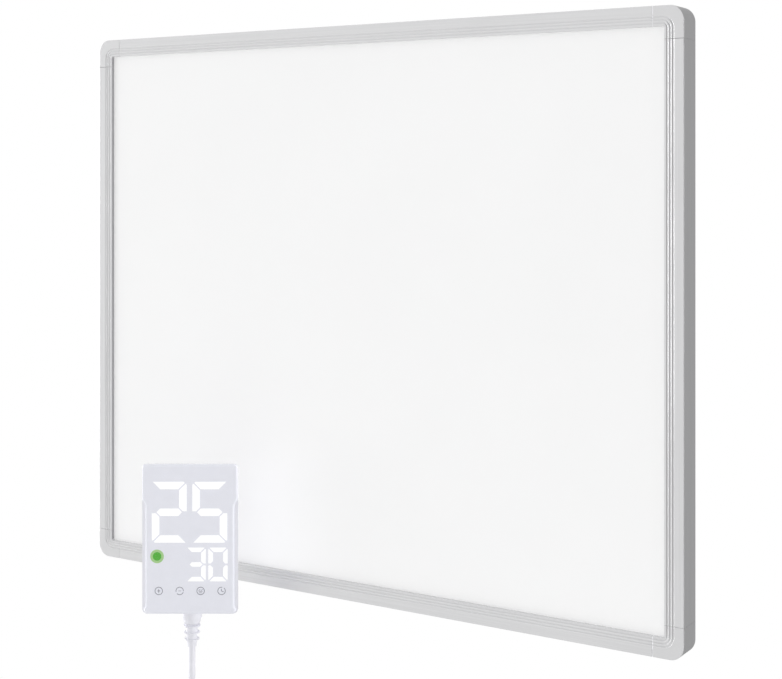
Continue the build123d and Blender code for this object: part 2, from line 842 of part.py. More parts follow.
def inlet_strain_relief():
    """Soft bushing locked in the box's wall, tapering down round the lead."""
    foot = box_low - inlet_collar
    shape = turned([
        (inlet_flange, box_low + 2 * box_wall), (inlet_flange, box_low + box_wall),
        (inlet_neck, box_low + box_wall), (inlet_neck, box_low),
        (inlet_flange, box_low), (inlet_flange, foot),
        (inlet_flange - 0.6, foot), (inlet_tip, foot - inlet_taper_length),
    ], inlet_x, lead_y)
    bore = rod((inlet_x, lead_y, foot - inlet_taper_length - 1), (0, 0, 1),
               lead_radius + lead_clearance, box_height)
    return shape - bore


def inlet_end():
    """Height at which the lead leaves the inlet's strain relief."""
    return box_low - inlet_collar - inlet_taper_length


def inlet_lead():
    """The lead's sheath from the strain relief's tip into the box."""
    top = clamp_z() + clamp_height / 2 + 1.5
    return rod((inlet_x, lead_y, inlet_end()), (0, 0, 1), lead_radius, top - inlet_end())


def inlet_cores():
    """The lead's three cores: two to the terminal block and one to the earth nut."""
    start = clamp_z() + clamp_height / 2 + 1.5
    foot = terminal_middle() - terminal_size[2] / 2
    y = box_floor + terminal_size[1] / 2
    cores = []
    for offset, x in ((-1.9, wire_places()[1]), (0.0, wire_places()[3])):
        points = [
            (inlet_x + offset, lead_y, start), (inlet_x + offset, lead_y, start + 4),
            (x, y, foot - 5), (x, y, foot),
        ]
        cores.append(tube(points, [1.6, 1.6], core_radius))
    stud_x, stud_z = stud_place()
    nut_foot = stud_z - nut_radius * cos(pi / 6)
    nut_y = box_floor + nut_height / 2
    points = [
        (inlet_x + 1.9, lead_y, start), (inlet_x + 1.9, lead_y, start + 2.5),
        (stud_x, nut_y, nut_foot - 4), (stud_x, nut_y, nut_foot),
    ]
    cores.append(tube(points, [1.6, 1.6], core_radius))
    return cores


def inlet_clamp():
    """Bar that holds the lead down on its saddle."""
    y = lead_y + lead_radius + lead_clearance
    low, high = clamp_z() - clamp_height / 2, clamp_z() + clamp_height / 2
    bar = block((inlet_x - clamp_width / 2, inlet_x + clamp_width / 2), (y, y + clamp_thickness), (low, high))
    for side in (-1, 1):
        x = inlet_x + side * clamp_screw_place
        bar -= rod((x, y, clamp_z()), (0, 1, 0), clamp_screw + screw_gap, clamp_thickness)
    return bar


def inlet_clamp_screws():
    """Two screws down through the bar into the posts."""
    y = lead_y + lead_radius + lead_clearance + clamp_thickness
    return [screw((inlet_x + side * clamp_screw_place, y, clamp_z()), (0, -1, 0),
                  clamp_screw, 9, 2.3, 1.4) for side in (-1, 1)]


# ---- Lead ----

def coil_marks():
    """Where the lead crosses the coil's level: (offset, depth), left and right by turns."""
    marks = []
    total = half_turns_in + 1 + half_turns_out
    near, far = lead_y, lead_y + coil_layer
    for k in range(total + 1):
        inward = k <= half_turns_in
        steps = k if inward else 2 * half_turns_in + 1 - k
        radius = coil_radius - steps * coil_pitch / 2
        if k in (half_turns_in, half_turns_in + 1):
            radius -= climb_inset
        side = -1 if k % 2 == 0 else 1
        marks.append((side * radius, near if inward else far))
    return marks


def coil_points(a, b, lower, count):
    """Points along one half turn from mark a to mark b, under or over the coil's level."""
    middle = [(a[0] + b[0]) / 2, (a[1] + b[1]) / 2]
    half = [(b[0] - a[0]) / 2, (b[1] - a[1]) / 2]
    reach = hypot(*half) * (-1 if lower else 1)
    found = []
    for i in range(count + 1):
        angle = pi * i / count
        x = middle[0] - half[0] * cos(angle)
        y = middle[1] - half[1] * cos(angle)
        found.append((coil_x + x, y, coil_z + reach * sin(angle)))
    return found


def coil_halves(count):
    """Every half turn of the coil as points, in order."""
    marks = coil_marks()
    return [coil_points(a, b, k % 2 == 0, count) for k, (a, b) in enumerate(zip(marks, marks[1:]))]


def power_cord_coil():
    """Spare lead wound in two layers: in on the near one and out again on the far one."""
    halves = coil_halves(2)
    first, last = halves[0][0], halves[-1][-1]
    start = (first[0], first[1], first[2] + lead_diameter)
    end = (last[0], last[1], last[2] - lead_diameter)
    edges = [Line(start, first)]
    edges += [ThreePointArc(*points) for points in halves]
    edges += [Line(last, end)]
    path = Wire([piece.edge() for piece in edges])
    return sweep(Plane(origin=start, z_dir=(0, 0, -1)) * Circle(lead_radius), path=path)


def coil_least_gap():
    """Least gap between stretches of the coil that lie more than a third of a turn apart."""
    step = 24
    points = [point for half in coil_halves(step) for point in half[:-1]]
    apart = 2 * step // 3
    least = min(dist(a, b) for i, a in enumerate(points) for b in points[i + apart:])
    return least - lead_diameter


def power_cord_upper():
    """The lead from the inlet's strain relief down to the coil."""
    foot = coil_z + lead_diameter
    return rod((inlet_x, lead_y, foot), (0, 0, 1), lead_radius, inlet_end() - foot)


def loop_route():
    """The lead's free stretch, from the coil's end to the controller's strain relief."""
    end_mark = coil_marks()[-1]
    start = (coil_x + end_mark[0], end_mark[1], coil_z - lead_diameter)
    boot = controller_place() * Pos(0, boot_y, cover_foot - boot_length)
    end = tuple(boot.position)
    points = [start]
    for share, height in loop_shape:
        x = start[0] + share * (end[0] - start[0])
        y = start[1] + share * (end[1] - start[1])
        points.append((x, y, bottom_z + height))
    return points + [end]


def power_cord_lower():
    """The lead hanging in a loop from the coil to the controller."""
    route = loop_route()
    return tube(route, bend_radii(route), lead_radius)


def tie_box():
    """Inside of the tie: its (x, y) limits round the turns on the coil's right side."""
    rights = [mark for mark in coil_marks() if mark[0] > 0]
    reach = lead_radius + tie_gap
    x = [coil_x + end(mark[0] for mark in rights) + side * reach
         for end, side in ((min, -1), (max, 1))]
    y = [end(mark[1] for mark in rights) + side * reach for end, side in ((min, -1), (max, 1))]
    return x, y


def cord_tie():
    """Flat strap round the bundle."""
    x, y = tie_box()
    z = (coil_z - tie_width / 2, coil_z + tie_width / 2)
    outer = block((x[0] - tie_thickness, x[1] + tie_thickness),
                  (y[0] - tie_thickness, y[1] + tie_thickness), z)
    return outer - block(x, y, z)


def cord_tie_mount():
    """Pad on the back plate that carries the strap."""
    x, y = tie_box()
    middle = (x[0] + x[1]) / 2
    return block((middle - tie_base / 2, middle + tie_base / 2), (plate_y, y[0] - tie_thickness),
                 (coil_z - tie_base / 2, coil_z + tie_base / 2))


# ---- Controller ----

def controller_place():
    """Where the controller stands in the row's frame."""
    x = -panel_width / 2 + controller_inset
    return Pos(x, face_y - controller_out, bottom_z + controller_rise) * Rot(0, 0, controller_turn)


def face_outline():
    """The front cover's outline: full width at the top, with a shallow grip down each side."""
    half, top = cover_half, cover_top
    grip = half - grip_inset
    foot = half - grip_bottom_inset
    rise = grip_bottom + grip_bottom_run
    bend = ((half + grip) / 2, grip_top - grip_run / 2)
    flare = ((foot + grip) / 2, grip_bottom + grip_bottom_run / 2)
    upper = TangentArc((half, grip_top), bend, tangent=(0, -1))
    lower = TangentArc(bend, (grip, grip_top - grip_run), tangent=upper % 1)
    bend_in = TangentArc((grip, rise), flare, tangent=(0, -1))
    bend_out = TangentArc(flare, (foot, grip_bottom), tangent=bend_in % 1)
    side = [
        Line((0, top), (half, top)), Line((half, top), (half, grip_top)), upper, lower,
        Line((grip, grip_top - grip_run), (grip, rise)), bend_in, bend_out,
        Line((foot, grip_bottom), (foot, -top)), Line((foot, -top), (0, -top)),
    ]
    other = [mirror(edge, about=Plane.YZ) for edge in side]
    return make_face([each.edge() for each in side + other])


def segment(name, width, height, stroke, slit):
    """One bar of a seven-bar digit, with mitred ends."""
    middle, half = height / 2, stroke / 2
    inner = width - stroke
    shapes = {
        "top": [(slit, height), (width - slit, height), (inner - slit, height - stroke),
                (stroke + slit, height - stroke)],
        "bottom": [(slit, 0), (width - slit, 0), (inner - slit, stroke), (stroke + slit, stroke)],
        "middle": [(half + slit, middle), (stroke + slit, middle + half), (inner - slit, middle + half),
                   (width - half - slit, middle), (inner - slit, middle - half),
                   (stroke + slit, middle - half)],
        "upper_right": [(width, height - slit), (inner, height - stroke - slit),
                        (inner, middle + half + slit), (width - half, middle + slit),
                        (width, middle + slit)],
        "lower_right": [(width, slit), (inner, stroke + slit), (inner, middle - half - slit),
                        (width - half, middle - slit), (width, middle - slit)],
    }
    if name in shapes:
        return shapes[name]
    other = shapes[name.replace("left", "right")]
    return [(width - x, y) for x, y in other]


digit_bars = {
    "0": ("top", "upper_right", "lower_right", "bottom", "lower_left", "upper_left"),
    "2": ("top", "upper_right", "middle", "lower_left", "bottom"),
    "3": ("top", "upper_right", "middle", "lower_right", "bottom"),
    "5": ("top", "upper_left", "middle", "lower_right", "bottom"),
}


def joined_corners(bars, width, height):
    """Outer corners of a digit where two lit bars meet."""
    found = []
    for level, z in (("top", height), ("bottom", 0)):
        for side, x in (("right", width), ("left", 0)):
            upright = ("upper_" if level == "top" else "lower_") + side
            if upright in bars:
                found.append((x, z))
    return found


def digit_outlines(digit, size):
    """The lit bars of a digit as flat shapes, its foot at the origin."""
    width, height, stroke = size
    bars = digit_bars[digit]
    clipped = []
    for name in bars:
        shape = make_face(Polyline(*segment(name, width, height, stroke, digit_slit), close=True))
        for x, z in joined_corners(bars, width, height):
            shape -= Pos(x, z) * Rot(0, 0, 45) * Rectangle(0.55 * stroke, 0.55 * stroke)
        clipped.append(shape)
    return clipped


def digit_bars_flat(digits, size, foot):
    """Every lit bar of a row of digits, in the controller's face."""
    return [Pos(left, foot) * bar for digit, left in digits for bar in digit_outlines(digit, size)]


def light_bars(digits, size, foot):
    """Light guides from the face back to the circuit board."""
    return [plate(bar, 0, board_front) for bar in digit_bars_flat(digits, size, foot)]


def controller_front_cover():
    """Face plate with its windows, and bosses for the shell's screws."""
    cover = plate(face_outline(), 0, face_thickness)
    upright = cover.edges().filter_by(Axis.Y)
    corners_found = [upright.sort_by_distance((x, face_thickness / 2, z))[0]
                     for x in (-body_width, body_width) for z in (-body_height, body_height)]
    cover = fillet(corners_found, body_corner)
    rim = cover.faces().sort_by(Axis.Y)[0].edges()
    cover = fillet(rim, face_edge)
    for x, z in shell_screws:
        cover += rod((x, face_thickness, z), (0, 1, 0), shell_post, post_meeting - face_thickness)
        depth = screw_seat - shell_screw_length
        cover -= rod((x, depth - 0.4, z), (0, 1, 0), shell_screw + screw_gap, post_meeting)
    bars = digit_bars_flat(large_digits, large_digit, large_digit_foot)
    bars += digit_bars_flat(small_digits, small_digit, small_digit_foot)
    for bar in bars:
        cover -= plate(offset(bar, window_gap, kind=Kind.INTERSECTION), -1, face_thickness + 1)
    x, z = lamp_place
    return cover - rod((x, -1, z), (0, 1, 0), lamp_ring + window_gap, face_thickness + 2)


def shell_outline(y, inset):
    """The rear shell's outline at a depth, inset for the inside, and its corner."""
    share = max(0.0, (y - rim_depth) / (body_depth - rim_depth))
    half = cover_half - side_draft * share - inset
    top = cover_top - top_draft * share - inset
    low = cover_foot + inset
    corner = body_corner + 1.0 - min(inset, 1.5)
    shape = RectangleRounded(2 * half, top - low, corner)
    return front_plane(y) * Pos(0, (top + low) / 2) * shape


def shell_form(inset, near, far):
    """The rear shell's form between two depths: straight at its rim, then tapering."""
    rim = extrude(shell_outline(rim_depth, inset), amount=rim_depth - near)
    return rim + loft([shell_outline(rim_depth, inset), shell_outline(far, inset)], ruled=True)


def controller_rear_shell():
    """Tapered shell with the plug's boss, posts, a saddle for the lead and vents."""
    shell = shell_form(0, face_thickness, body_depth)
    shell = fillet(shell.faces().sort_by(Axis.Y)[-1].edges(), shell_back_round)
    floor = body_depth - body_wall
    shell -= shell_form(body_wall, face_thickness + ledge_depth, floor)
    mouth = shell_outline(rim_depth, grip_inset + ledge_reach)
    shell -= extrude(mouth, amount=rim_depth - face_thickness)
    shell += rod((0, floor, plug_z), (0, 1, 0), boss_radius, body_wall + boss_length)
    shell -= rod((0, floor - 1, plug_z), (0, 1, 0), boss_radius - boss_wall, boss_length + 9)
    inside = shell_form(body_wall / 2, face_thickness, body_depth)
    for x, z in shell_screws:
        shell += rod((x, post_meeting, z), (0, 1, 0), shell_post, body_depth - post_meeting) & inside
        shell -= rod((x, post_meeting - 1, z), (0, 1, 0), shell_screw + 2 * screw_gap, body_depth)
        shell -= rod((x, screw_seat, z), (0, 1, 0), small_head + 0.2, body_depth)
    back = board_front + board_thickness
    for x, z in board_screws:
        shell += rod((x, back, z), (0, 1, 0), board_post, floor - back)
        shell -= rod((x, back, z), (0, 1, 0), board_screw + screw_gap, board_screw_length)
    low, high = boot_clamp_z() - clamp_height / 2, boot_clamp_z() + clamp_height / 2
    shell += block((-4, 4), (boot_y + lead_radius + lead_clearance, floor), (low, high))
    front = boot_y - lead_radius - lead_clearance
    for side in (-1, 1):
        x = side * clamp_screw_place
        shell += rod((x, front, boot_clamp_z()), (0, 1, 0), clamp_post, floor - front)
        shell -= rod((x, front, boot_clamp_z()), (0, 1, 0), clamp_screw + screw_gap, 7)
    foot = cover_foot
    shell -= rod((0, boot_y, foot - 1), (0, 0, 1), boot_neck + lead_clearance, body_wall + 2)
    for x in vent_places:
        vent = (x - vent_width / 2, x + vent_width / 2)
        shell -= block(vent, (boot_y - 6, boot_y + 6), (foot - 1, foot + body_wall + 1))
    end = body_depth + boss_length
    for side in (-1, 1):
        z = sorted(plug_z + side * reach for reach in (boss_radius - boss_wall - 1, boss_radius + 1))
        slot = (end - insert_thickness - earth_strap - 0.3, end + 1)
        half = earth_width / 2 + 0.1
        shell -= block((-half, half), slot, z)
    return shell


def boot_clamp_z():
    """Middle of the lead clamp inside the controller."""
    return cover_foot + 2 * body_wall + 1 + clamp_height / 2


def controller_boot():
    """Ribbed strain relief under the controller, locked in its shell."""
    foot = cover_foot
    head_foot = foot - boot_head_height
    collar_foot = head_foot - boot_collar_height
    collar_top_radius, collar_foot_radius = boot_collar
    profile_points = [
        (boot_flange, foot + 2 * body_wall), (boot_flange, foot + body_wall),
        (boot_neck, foot + body_wall), (boot_neck, foot),
        (boot_head, foot), (boot_head, head_foot),
        (collar_top_radius, head_foot), (collar_foot_radius, collar_foot),
    ]
    core = boot_core
    shrink = (boot_core - boot_tip) / len(boot_rib_radii) / 2
    for i, rib in enumerate(boot_rib_radii):
        middle = collar_foot - boot_rib_pitch * (i + 0.5) - boot_rib_height / 2
        high, low = middle + boot_rib_height / 2, middle - boot_rib_height / 2
        profile_points += [(core, high + boot_rib_slope), (rib, high), (rib, low),
                           (core - shrink, low - boot_rib_slope)]
        core -= shrink
    profile_points += [(boot_tip, foot - boot_length)]
    shape = turned(profile_points, 0, boot_y)
    bore = rod((0, boot_y, foot - boot_length - 1), (0, 0, 1), lead_radius + lead_clearance, body_height)
    return shape - bore


def controller_lead():
    """The lead's sheath from the boot's tip into the controller."""
    start = cover_foot - boot_length
    top = boot_clamp_z() + clamp_height / 2 + 1.5
    return rod((0, boot_y, start), (0, 0, 1), lead_radius, top - start)


def controller_cores():
    """The lead's cores, bent over to the back of the circuit board."""
    start = boot_clamp_z() + clamp_height / 2 + 1.5
    back = board_front + board_thickness
    turn = start + 6
    return [tube([(x, boot_y, start), (x, boot_y, turn), (x, back, turn)], 2.2, core_radius)
            for x in (-2.0, 0.0, 2.0)]


def controller_clamp():
    """Bar that holds the lead on its saddle in the controller."""
    y = boot_y - lead_radius - lead_clearance
    low, high = boot_clamp_z() - clamp_height / 2, boot_clamp_z() + clamp_height / 2
    bar = block((-clamp_width / 2, clamp_width / 2), (y - clamp_thickness, y), (low, high))
    for side in (-1, 1):
        x = side * clamp_screw_place
        bar -= rod((x, y, boot_clamp_z()), (0, -1, 0), clamp_screw + screw_gap, clamp_thickness)
    return bar


def controller_clamp_screws():
    """Two screws through the bar."""
    y = boot_y - lead_radius - lead_clearance - clamp_thickness
    return [screw((side * clamp_screw_place, y, boot_clamp_z()), (0, 1, 0),
                  clamp_screw, 9, 2.3, 1.4) for side in (-1, 1)]


def circuit_board():
    """Board behind the face, with its screw holes."""
    y = (board_front, board_front + board_thickness)
    board = block((-board_half_width, board_half_width), y, (board_foot, board_head))
    for x, z in board_screws:
        board -= rod((x, y[0], z), (0, 1, 0), board_screw + screw_gap, board_thickness)
    return board


def board_screw_set():
    """Screws from the front of the board into the shell's posts."""
    return [screw((x, board_front, z), (0, 1, 0), board_screw, board_screw_length, 2.2, 1.3)
            for x, z in board_screws]


def shell_screw_set():
    """Screws from the back that close the controller."""
    return [screw((x, screw_seat, z), (0, -1, 0), shell_screw, shell_screw_length)
            for x, z in shell_screws]


def power_module():
    """Potted mains transformer on the back of the board."""
    back = board_front + board_thickness
    foot = board_foot + module_rise
    body = block(module_x, (back, back + module_size[1]), (foot, foot + module_size[2]))
    return fillet(body.faces().sort_by(Axis.Y)[-1].edges(), 1.0)


def relay():
    """Relay that switches the panel."""
    back = board_front + board_thickness
    foot = board_foot + relay_rise
    body = block(relay_x, (back, back + relay_size[1]), (foot, foot + relay_size[2]))
    return fillet(body.faces().sort_by(Axis.Y)[-1].edges(), 0.8)


def capacitor():
    """Smoothing capacitor standing on the board."""
    back = board_front + board_thickness
    middle = (capacitor_inset - board_half_width, back, board_head - capacitor_drop)
    can = rod(middle, (0, 1, 0), capacitor_radius, capacitor_length)
    return fillet(can.edges().sort_by(Axis.Y)[-1], 0.8)


def status_lens():
    """Green lamp's lens, from the face back to the board."""
    x, z = lamp_place
    return rod((x, 0, z), (0, 1, 0), lamp_radius, board_front)


def status_ring():
    """Pale ring round the lamp, set in the cover."""
    x, z = lamp_place
    ring = rod((x, 0, z), (0, 1, 0), lamp_ring, face_thickness)
    return ring - rod((x, 0, z), (0, 1, 0), lamp_radius + window_gap, face_thickness)


def touch_pads():
    """Conductive pads that join the four touch fields to the board."""
    length = board_front - face_thickness
    return [rod((x, face_thickness, key_height), (0, 1, 0), key_pad, length) for x in key_places]


def temperature_sensor():
    """Room sensor above the vents."""
    x, z = sensor_place
    return rod((x, board_front + board_thickness, z), (0, 1, 0), sensor_radius, sensor_length)


def plug_end():
    """Depth of the plug's front face, where the pins come out."""
    return body_depth + boss_length


def plug_insert():
    """Disc that carries the pins in the end of the boss."""
    radius = boss_radius - boss_wall - screw_gap
    near = plug_end() - insert_thickness
    disc = rod((0, near, plug_z), (0, 1, 0), radius, insert_thickness)
    for side in (-1, 1):
        x = side * pin_spacing / 2
        disc -= rod((x, near, plug_z), (0, 1, 0), pin_neck + screw_gap, insert_thickness)
    for side in (-1, 1):
        z = sorted(plug_z + side * reach for reach in (earth_inner() - 0.1, boss_radius))
        half = earth_width / 2 + 0.1
        disc -= block((-half, half), (near - 1, plug_end() + 1), z)
    return disc


def earth_inner():
    """Radius of the inside of the side contacts."""
    return boss_radius - earth_thickness - 0.2


def board_tail(x, end):
    """Stiff wire from the back of the circuit board to a contact of the plug."""
    back = board_front + board_thickness
    return rod((x, back, plug_z), (0, 1, 0), wire_radius, end - back)


def plug_pins():
    """Two round pins with domed tips, each with its tail to the board."""
    pins = []
    start = plug_end() - insert_thickness - pin_root
    shoulder = plug_end() + pin_step
    for side in (-1, 1):
        x = side * pin_spacing / 2
        pin = rod((x, shoulder, plug_z), (0, 1, 0), pin_radius, pin_length - pin_step)
        pin = fillet(pin.edges().sort_by(Axis.Y)[-1], 0.9)
        pin += rod((x, start, plug_z), (0, 1, 0), pin_neck, shoulder - start)
        pins.append(pin + board_tail(x, start))
    return pins


def earth_contact():
    """Spring strap behind the insert, with a side contact at each end and a tail."""
    near = plug_end() - insert_thickness - earth_strap
    x = (-earth_width / 2, earth_width / 2)
    outer = earth_inner() + earth_thickness
    strap = block(x, (near, near + earth_strap), (plug_z - outer, plug_z + outer))
    for side in (-1, 1):
        z = sorted(plug_z + side * reach for reach in (earth_inner(), outer))
        strap += block(x, (near, plug_end() - 0.5), z)
    return strap + board_tail(0.0, near)


# ---- The whole part ----

def panel_nodes():
    """Frame, layers and what is fixed to the panel's back."""
    nodes = {
        "frame_rail_top": frame_rail(panel_width, panel_height / 2, 0),
        "frame_rail_right": frame_rail(panel_height, panel_width / 2, 90),
        "frame_rail_bottom": frame_rail(panel_width, panel_height / 2, 180),
        "frame_rail_left": frame_rail(panel_height, panel_width / 2, 270),
    }
    corner = corner_piece()
    for name, (x, z, turn) in corners().items():
        nodes[name] = Pos(x, face_y, mid_z + z) * Rot(0, turn, 0) * corner
    nodes["corner_screws"] = [
        screw(seat, (0, -1, 0), corner_screw, corner_screw_length) for seat in corner_screw_seats()
    ]
    nodes["heating_sheet"] = layer(stack_edge, sheet_recess, sheet_back, sheet_corner)
    nodes["heating_film"] = layer(stack_edge + film_margin, sheet_back, film_back)
    nodes["busbars"] = busbars()
    nodes["reflector_foil"] = reflector_foil()
    nodes["insulation_board"] = insulation_board()
    nodes["back_plate"] = back_plate()
    nodes["hook_rail"] = hook_rail()
    nodes["hook_rivets"] = hook_rivets()
    nodes["lower_spacers"] = lower_spacers()
    nodes["spacer_pads"] = spacer_pads()
    nodes["spacer_screws"] = spacer_screws()
    return nodes


def box_nodes():
    """Junction box, what it holds, and the lead up to the controller."""
    return {
        "junction_box_base": junction_box_base(),
        "junction_box_cover": junction_box_cover(),
        "junction_box_screws": junction_box_screws(),
        "terminal_block": terminal_block(),
        "terminal_screws": terminal_screws(),
        "earth_stud": earth_stud(),
        "wire_grommet": wire_grommet(),
        "overheat_cutout": overheat_cutout(),
        "inner_wires": inner_wires(),
        "inlet_strain_relief": inlet_strain_relief(),
        "inlet_lead": inlet_lead(),
        "inlet_cores": inlet_cores(),
        "inlet_clamp": [inlet_clamp()] + inlet_clamp_screws(),
        "power_cord_upper": power_cord_upper(),
        "power_cord_coil": power_cord_coil(),
        "power_cord_lower": power_cord_lower(),
        "cord_tie": cord_tie(),
        "cord_tie_mount": cord_tie_mount(),
    }


def controller_nodes():
    """The plug-in controller, in its own frame."""
    return {
        "controller_front_cover": controller_front_cover(),
        "controller_rear_shell": controller_rear_shell(),
        "controller_boot": controller_boot(),
        "controller_lead": controller_lead(),
        "controller_cores": controller_cores(),
        "controller_clamp": [controller_clamp()] + controller_clamp_screws(),
        "circuit_board": circuit_board(),
        "controller_screws": board_screw_set() + shell_screw_set(),
        "power_module": power_module(),
        "relay": relay(),
        "capacitor": capacitor(),
        "large_digits": light_bars(large_digits, large_digit, large_digit_foot),
        "small_digits": light_bars(small_digits, small_digit, small_digit_foot),
        "status_lens": status_lens(),
        "status_ring": status_ring(),
        "touch_pads": touch_pads(),
        "temperature_sensor": temperature_sensor(),
        "plug_insert": plug_insert(),
        "plug_pins": plug_pins(),
        "earth_contact": earth_contact(),
    }


def solids_of(shape):
    """The solids of a shape, or of each shape in a list."""
    shapes = shape if isinstance(shape, list) else [shape]
    return [solid for each in shapes for solid in each.solids()]


def write(name, solids):
    """Write one node's solids to its file."""
    whole = solids[0] if len(solids) == 1 else Compound(children=solids)
    export_step(whole, f"parts/{name}.step")


def report_cord(nodes):
    """Print the lead's bends, gaps, volumes and length."""
    route = loop_route()
    print("loop radii", [round(radius, 1) for radius in bend_radii(route)])
    print("coil least gap", round(coil_least_gap(), 3))
    area = pi * lead_radius ** 2
    marks = coil_marks()
    coil_length = sum(pi * dist(a, b) / 2 for a, b in zip(marks, marks[1:])) + 2 * lead_diameter
    loop_path = FilletPolyline(*route, radius=bend_radii(route))
    lengths = {
        "power_cord_upper": inlet_end() - coil_z - lead_diameter,
        "power_cord_coil": coil_length,
        "power_cord_lower": loop_path.length,
    }
    for name, length in lengths.items():
        volume = sum(solid.volume for solid in nodes[name])
        print(name, "length", round(length, 1), "volume over section x length",
              round(volume / (area * length), 4))
    print("lead length", round(sum(lengths.values()), 1))


def main():
    """Make every node and write it."""
    os.makedirs("parts", exist_ok=True)
    nodes = {"wall_rail": solids_of(wall_rail())}
    for name, shape in {**panel_nodes(), **box_nodes()}.items():
        nodes[name] = solids_of(shape)
    place = controller_place()
    for name, shape in controller_nodes().items():
        nodes[name] = [place * solid for solid in solids_of(shape)]
    for name, solids in nodes.items():
        write(name, solids)
    report_cord(nodes)
    print(len(nodes), "nodes")


main()
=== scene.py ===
from math import atan2, cos, degrees, pi, radians, sin

import bmesh
import bpy
from bpy.props import FloatProperty, FloatVectorProperty, IntProperty, PointerProperty
from bpy.types import Operator, Panel, PropertyGroup
from mathutils import Matrix, Vector


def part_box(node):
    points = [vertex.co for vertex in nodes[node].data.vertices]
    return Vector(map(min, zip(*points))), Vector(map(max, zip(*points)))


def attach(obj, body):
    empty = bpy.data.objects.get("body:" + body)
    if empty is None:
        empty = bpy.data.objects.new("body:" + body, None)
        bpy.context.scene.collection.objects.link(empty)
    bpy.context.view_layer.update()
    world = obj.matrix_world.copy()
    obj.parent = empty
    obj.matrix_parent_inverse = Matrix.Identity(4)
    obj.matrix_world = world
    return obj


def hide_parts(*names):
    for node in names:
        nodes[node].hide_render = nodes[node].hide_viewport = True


bl_info = {
    "name": "Infrared Panel Heater",
    "version": (1, 0, 0),
    "blender": (4, 5, 0),
    "location": "View3D > Sidebar > Panel Heater",
    "description": "Dresses the wall-hung infrared panel, its lead and its plug-in controller",
    "category": "Add Mesh",
}

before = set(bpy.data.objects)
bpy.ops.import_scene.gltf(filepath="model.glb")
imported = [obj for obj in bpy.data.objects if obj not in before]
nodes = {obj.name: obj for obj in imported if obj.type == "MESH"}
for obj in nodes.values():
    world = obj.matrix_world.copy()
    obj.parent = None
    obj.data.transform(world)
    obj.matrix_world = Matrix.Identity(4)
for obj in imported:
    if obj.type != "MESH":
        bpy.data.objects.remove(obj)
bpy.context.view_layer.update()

frame_low = Vector((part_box("frame_rail_left")[0].x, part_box("frame_rail_top")[0].y,
                    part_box("frame_rail_bottom")[0].z))
frame_high = Vector((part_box("frame_rail_right")[1].x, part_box("frame_rail_top")[1].y,
                     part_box("frame_rail_top")[1].z))
panel_middle = (frame_low + frame_high) / 2
panel_half_depth = (frame_high.y - frame_low.y) / 2
face_width = 0.016                     # the frame's face, from its outer edge to the sheet
opening = (frame_high - frame_low) / 2 - Vector((face_width, 0, face_width))
corner_arm = 0.026                     # from the frame's outer edge to a corner piece's end
joint_highlight_reach = 0.0008                    # reach of the painted highlight either side of that end
soft_border = 0.00005                  # half of the soft border of the painted shade and the painted highlight

controller_place = (-0.1219, -0.1272, -0.3361)      # middle of the cover's face
controller_turn = radians(32.49)       # it faces the camera
cover_foot = -0.06485                  # lower end of the cover, from its middle
boot_length = 0.0321                   # strain relief below the cover
lead_depth = 0.015                     # middle of the lead, behind the cover's face


# ---- Colour ----

def linear(code):
    """An sRGB hex code as linear red, green and blue."""
    shares = [int(code[i:i + 2], 16) / 255 for i in (0, 2, 4)]
    return tuple(s / 12.92 if s <= 0.04045 else ((s + 0.055) / 1.055) ** 2.4 for s in shares)


def colour(name, description, code):
    """A colour setting with a hex default."""
    return FloatVectorProperty(name=name, description=description, subtype="COLOR",
                               size=3, min=0, max=1, default=linear(code))


def length(name, description, default):
    """A length setting in metres."""
    return FloatProperty(name=name, description=description, default=default, unit="LENGTH")


# ---- Settings ----

class HeaterLead(PropertyGroup):
    """Sizes of the lead and of its coil behind the panel."""
    diameter: length("Diameter", "Outside diameter of the sheath", 0.006)
    coil_radius: length("Coil Radius", "Radius of the outermost turn", 0.0483)
    coil_pitch: length("Coil Pitch", "Distance between neighbouring turns", 0.0067)
    turn_points: IntProperty(name="Points per Half Turn", default=8,
                             description="Control points in each half turn of the coil")


class HeaterMarks(PropertyGroup):
    """Sizes of the touch marks printed on the controller."""
    ring_radius: length("Ring Radius", "Outer radius of a mark's ring", 0.0035)
    line_width: length("Line Width", "Width of the printed lines", 0.00054)
    ink_height: length("Ink Height", "Thickness of the ink on the face", 0.00006)


class HeaterColours(PropertyGroup):
    """Colours of the surfaces that show."""
    aluminium: colour("Aluminium", "Anodised frame rails", "DADADB")
    corner: colour("Corners", "Moulded corner pieces", "DADADB")
    sheet: colour("Sheet", "Powder-coated heating sheet", "F7F7F7")
    back: colour("Back", "Powder-coated back plate", "DCDCDA")
    face: colour("Controller Face", "Front cover of the controller", "EBECF4")
    shell: colour("Controller Rear", "Rear half, strain relief and plug", "E6E6EC")
    lead: colour("Lead", "Sheath of the lead", "E6E6EC")
    lamp: colour("Lamp", "Lit core of the status lamp", "54AB3C")
    lamp_ring: colour("Lamp Ring", "Pale ring round the lamp", "A0C688")
    ink: colour("Ink", "Printed touch marks", "82828F")


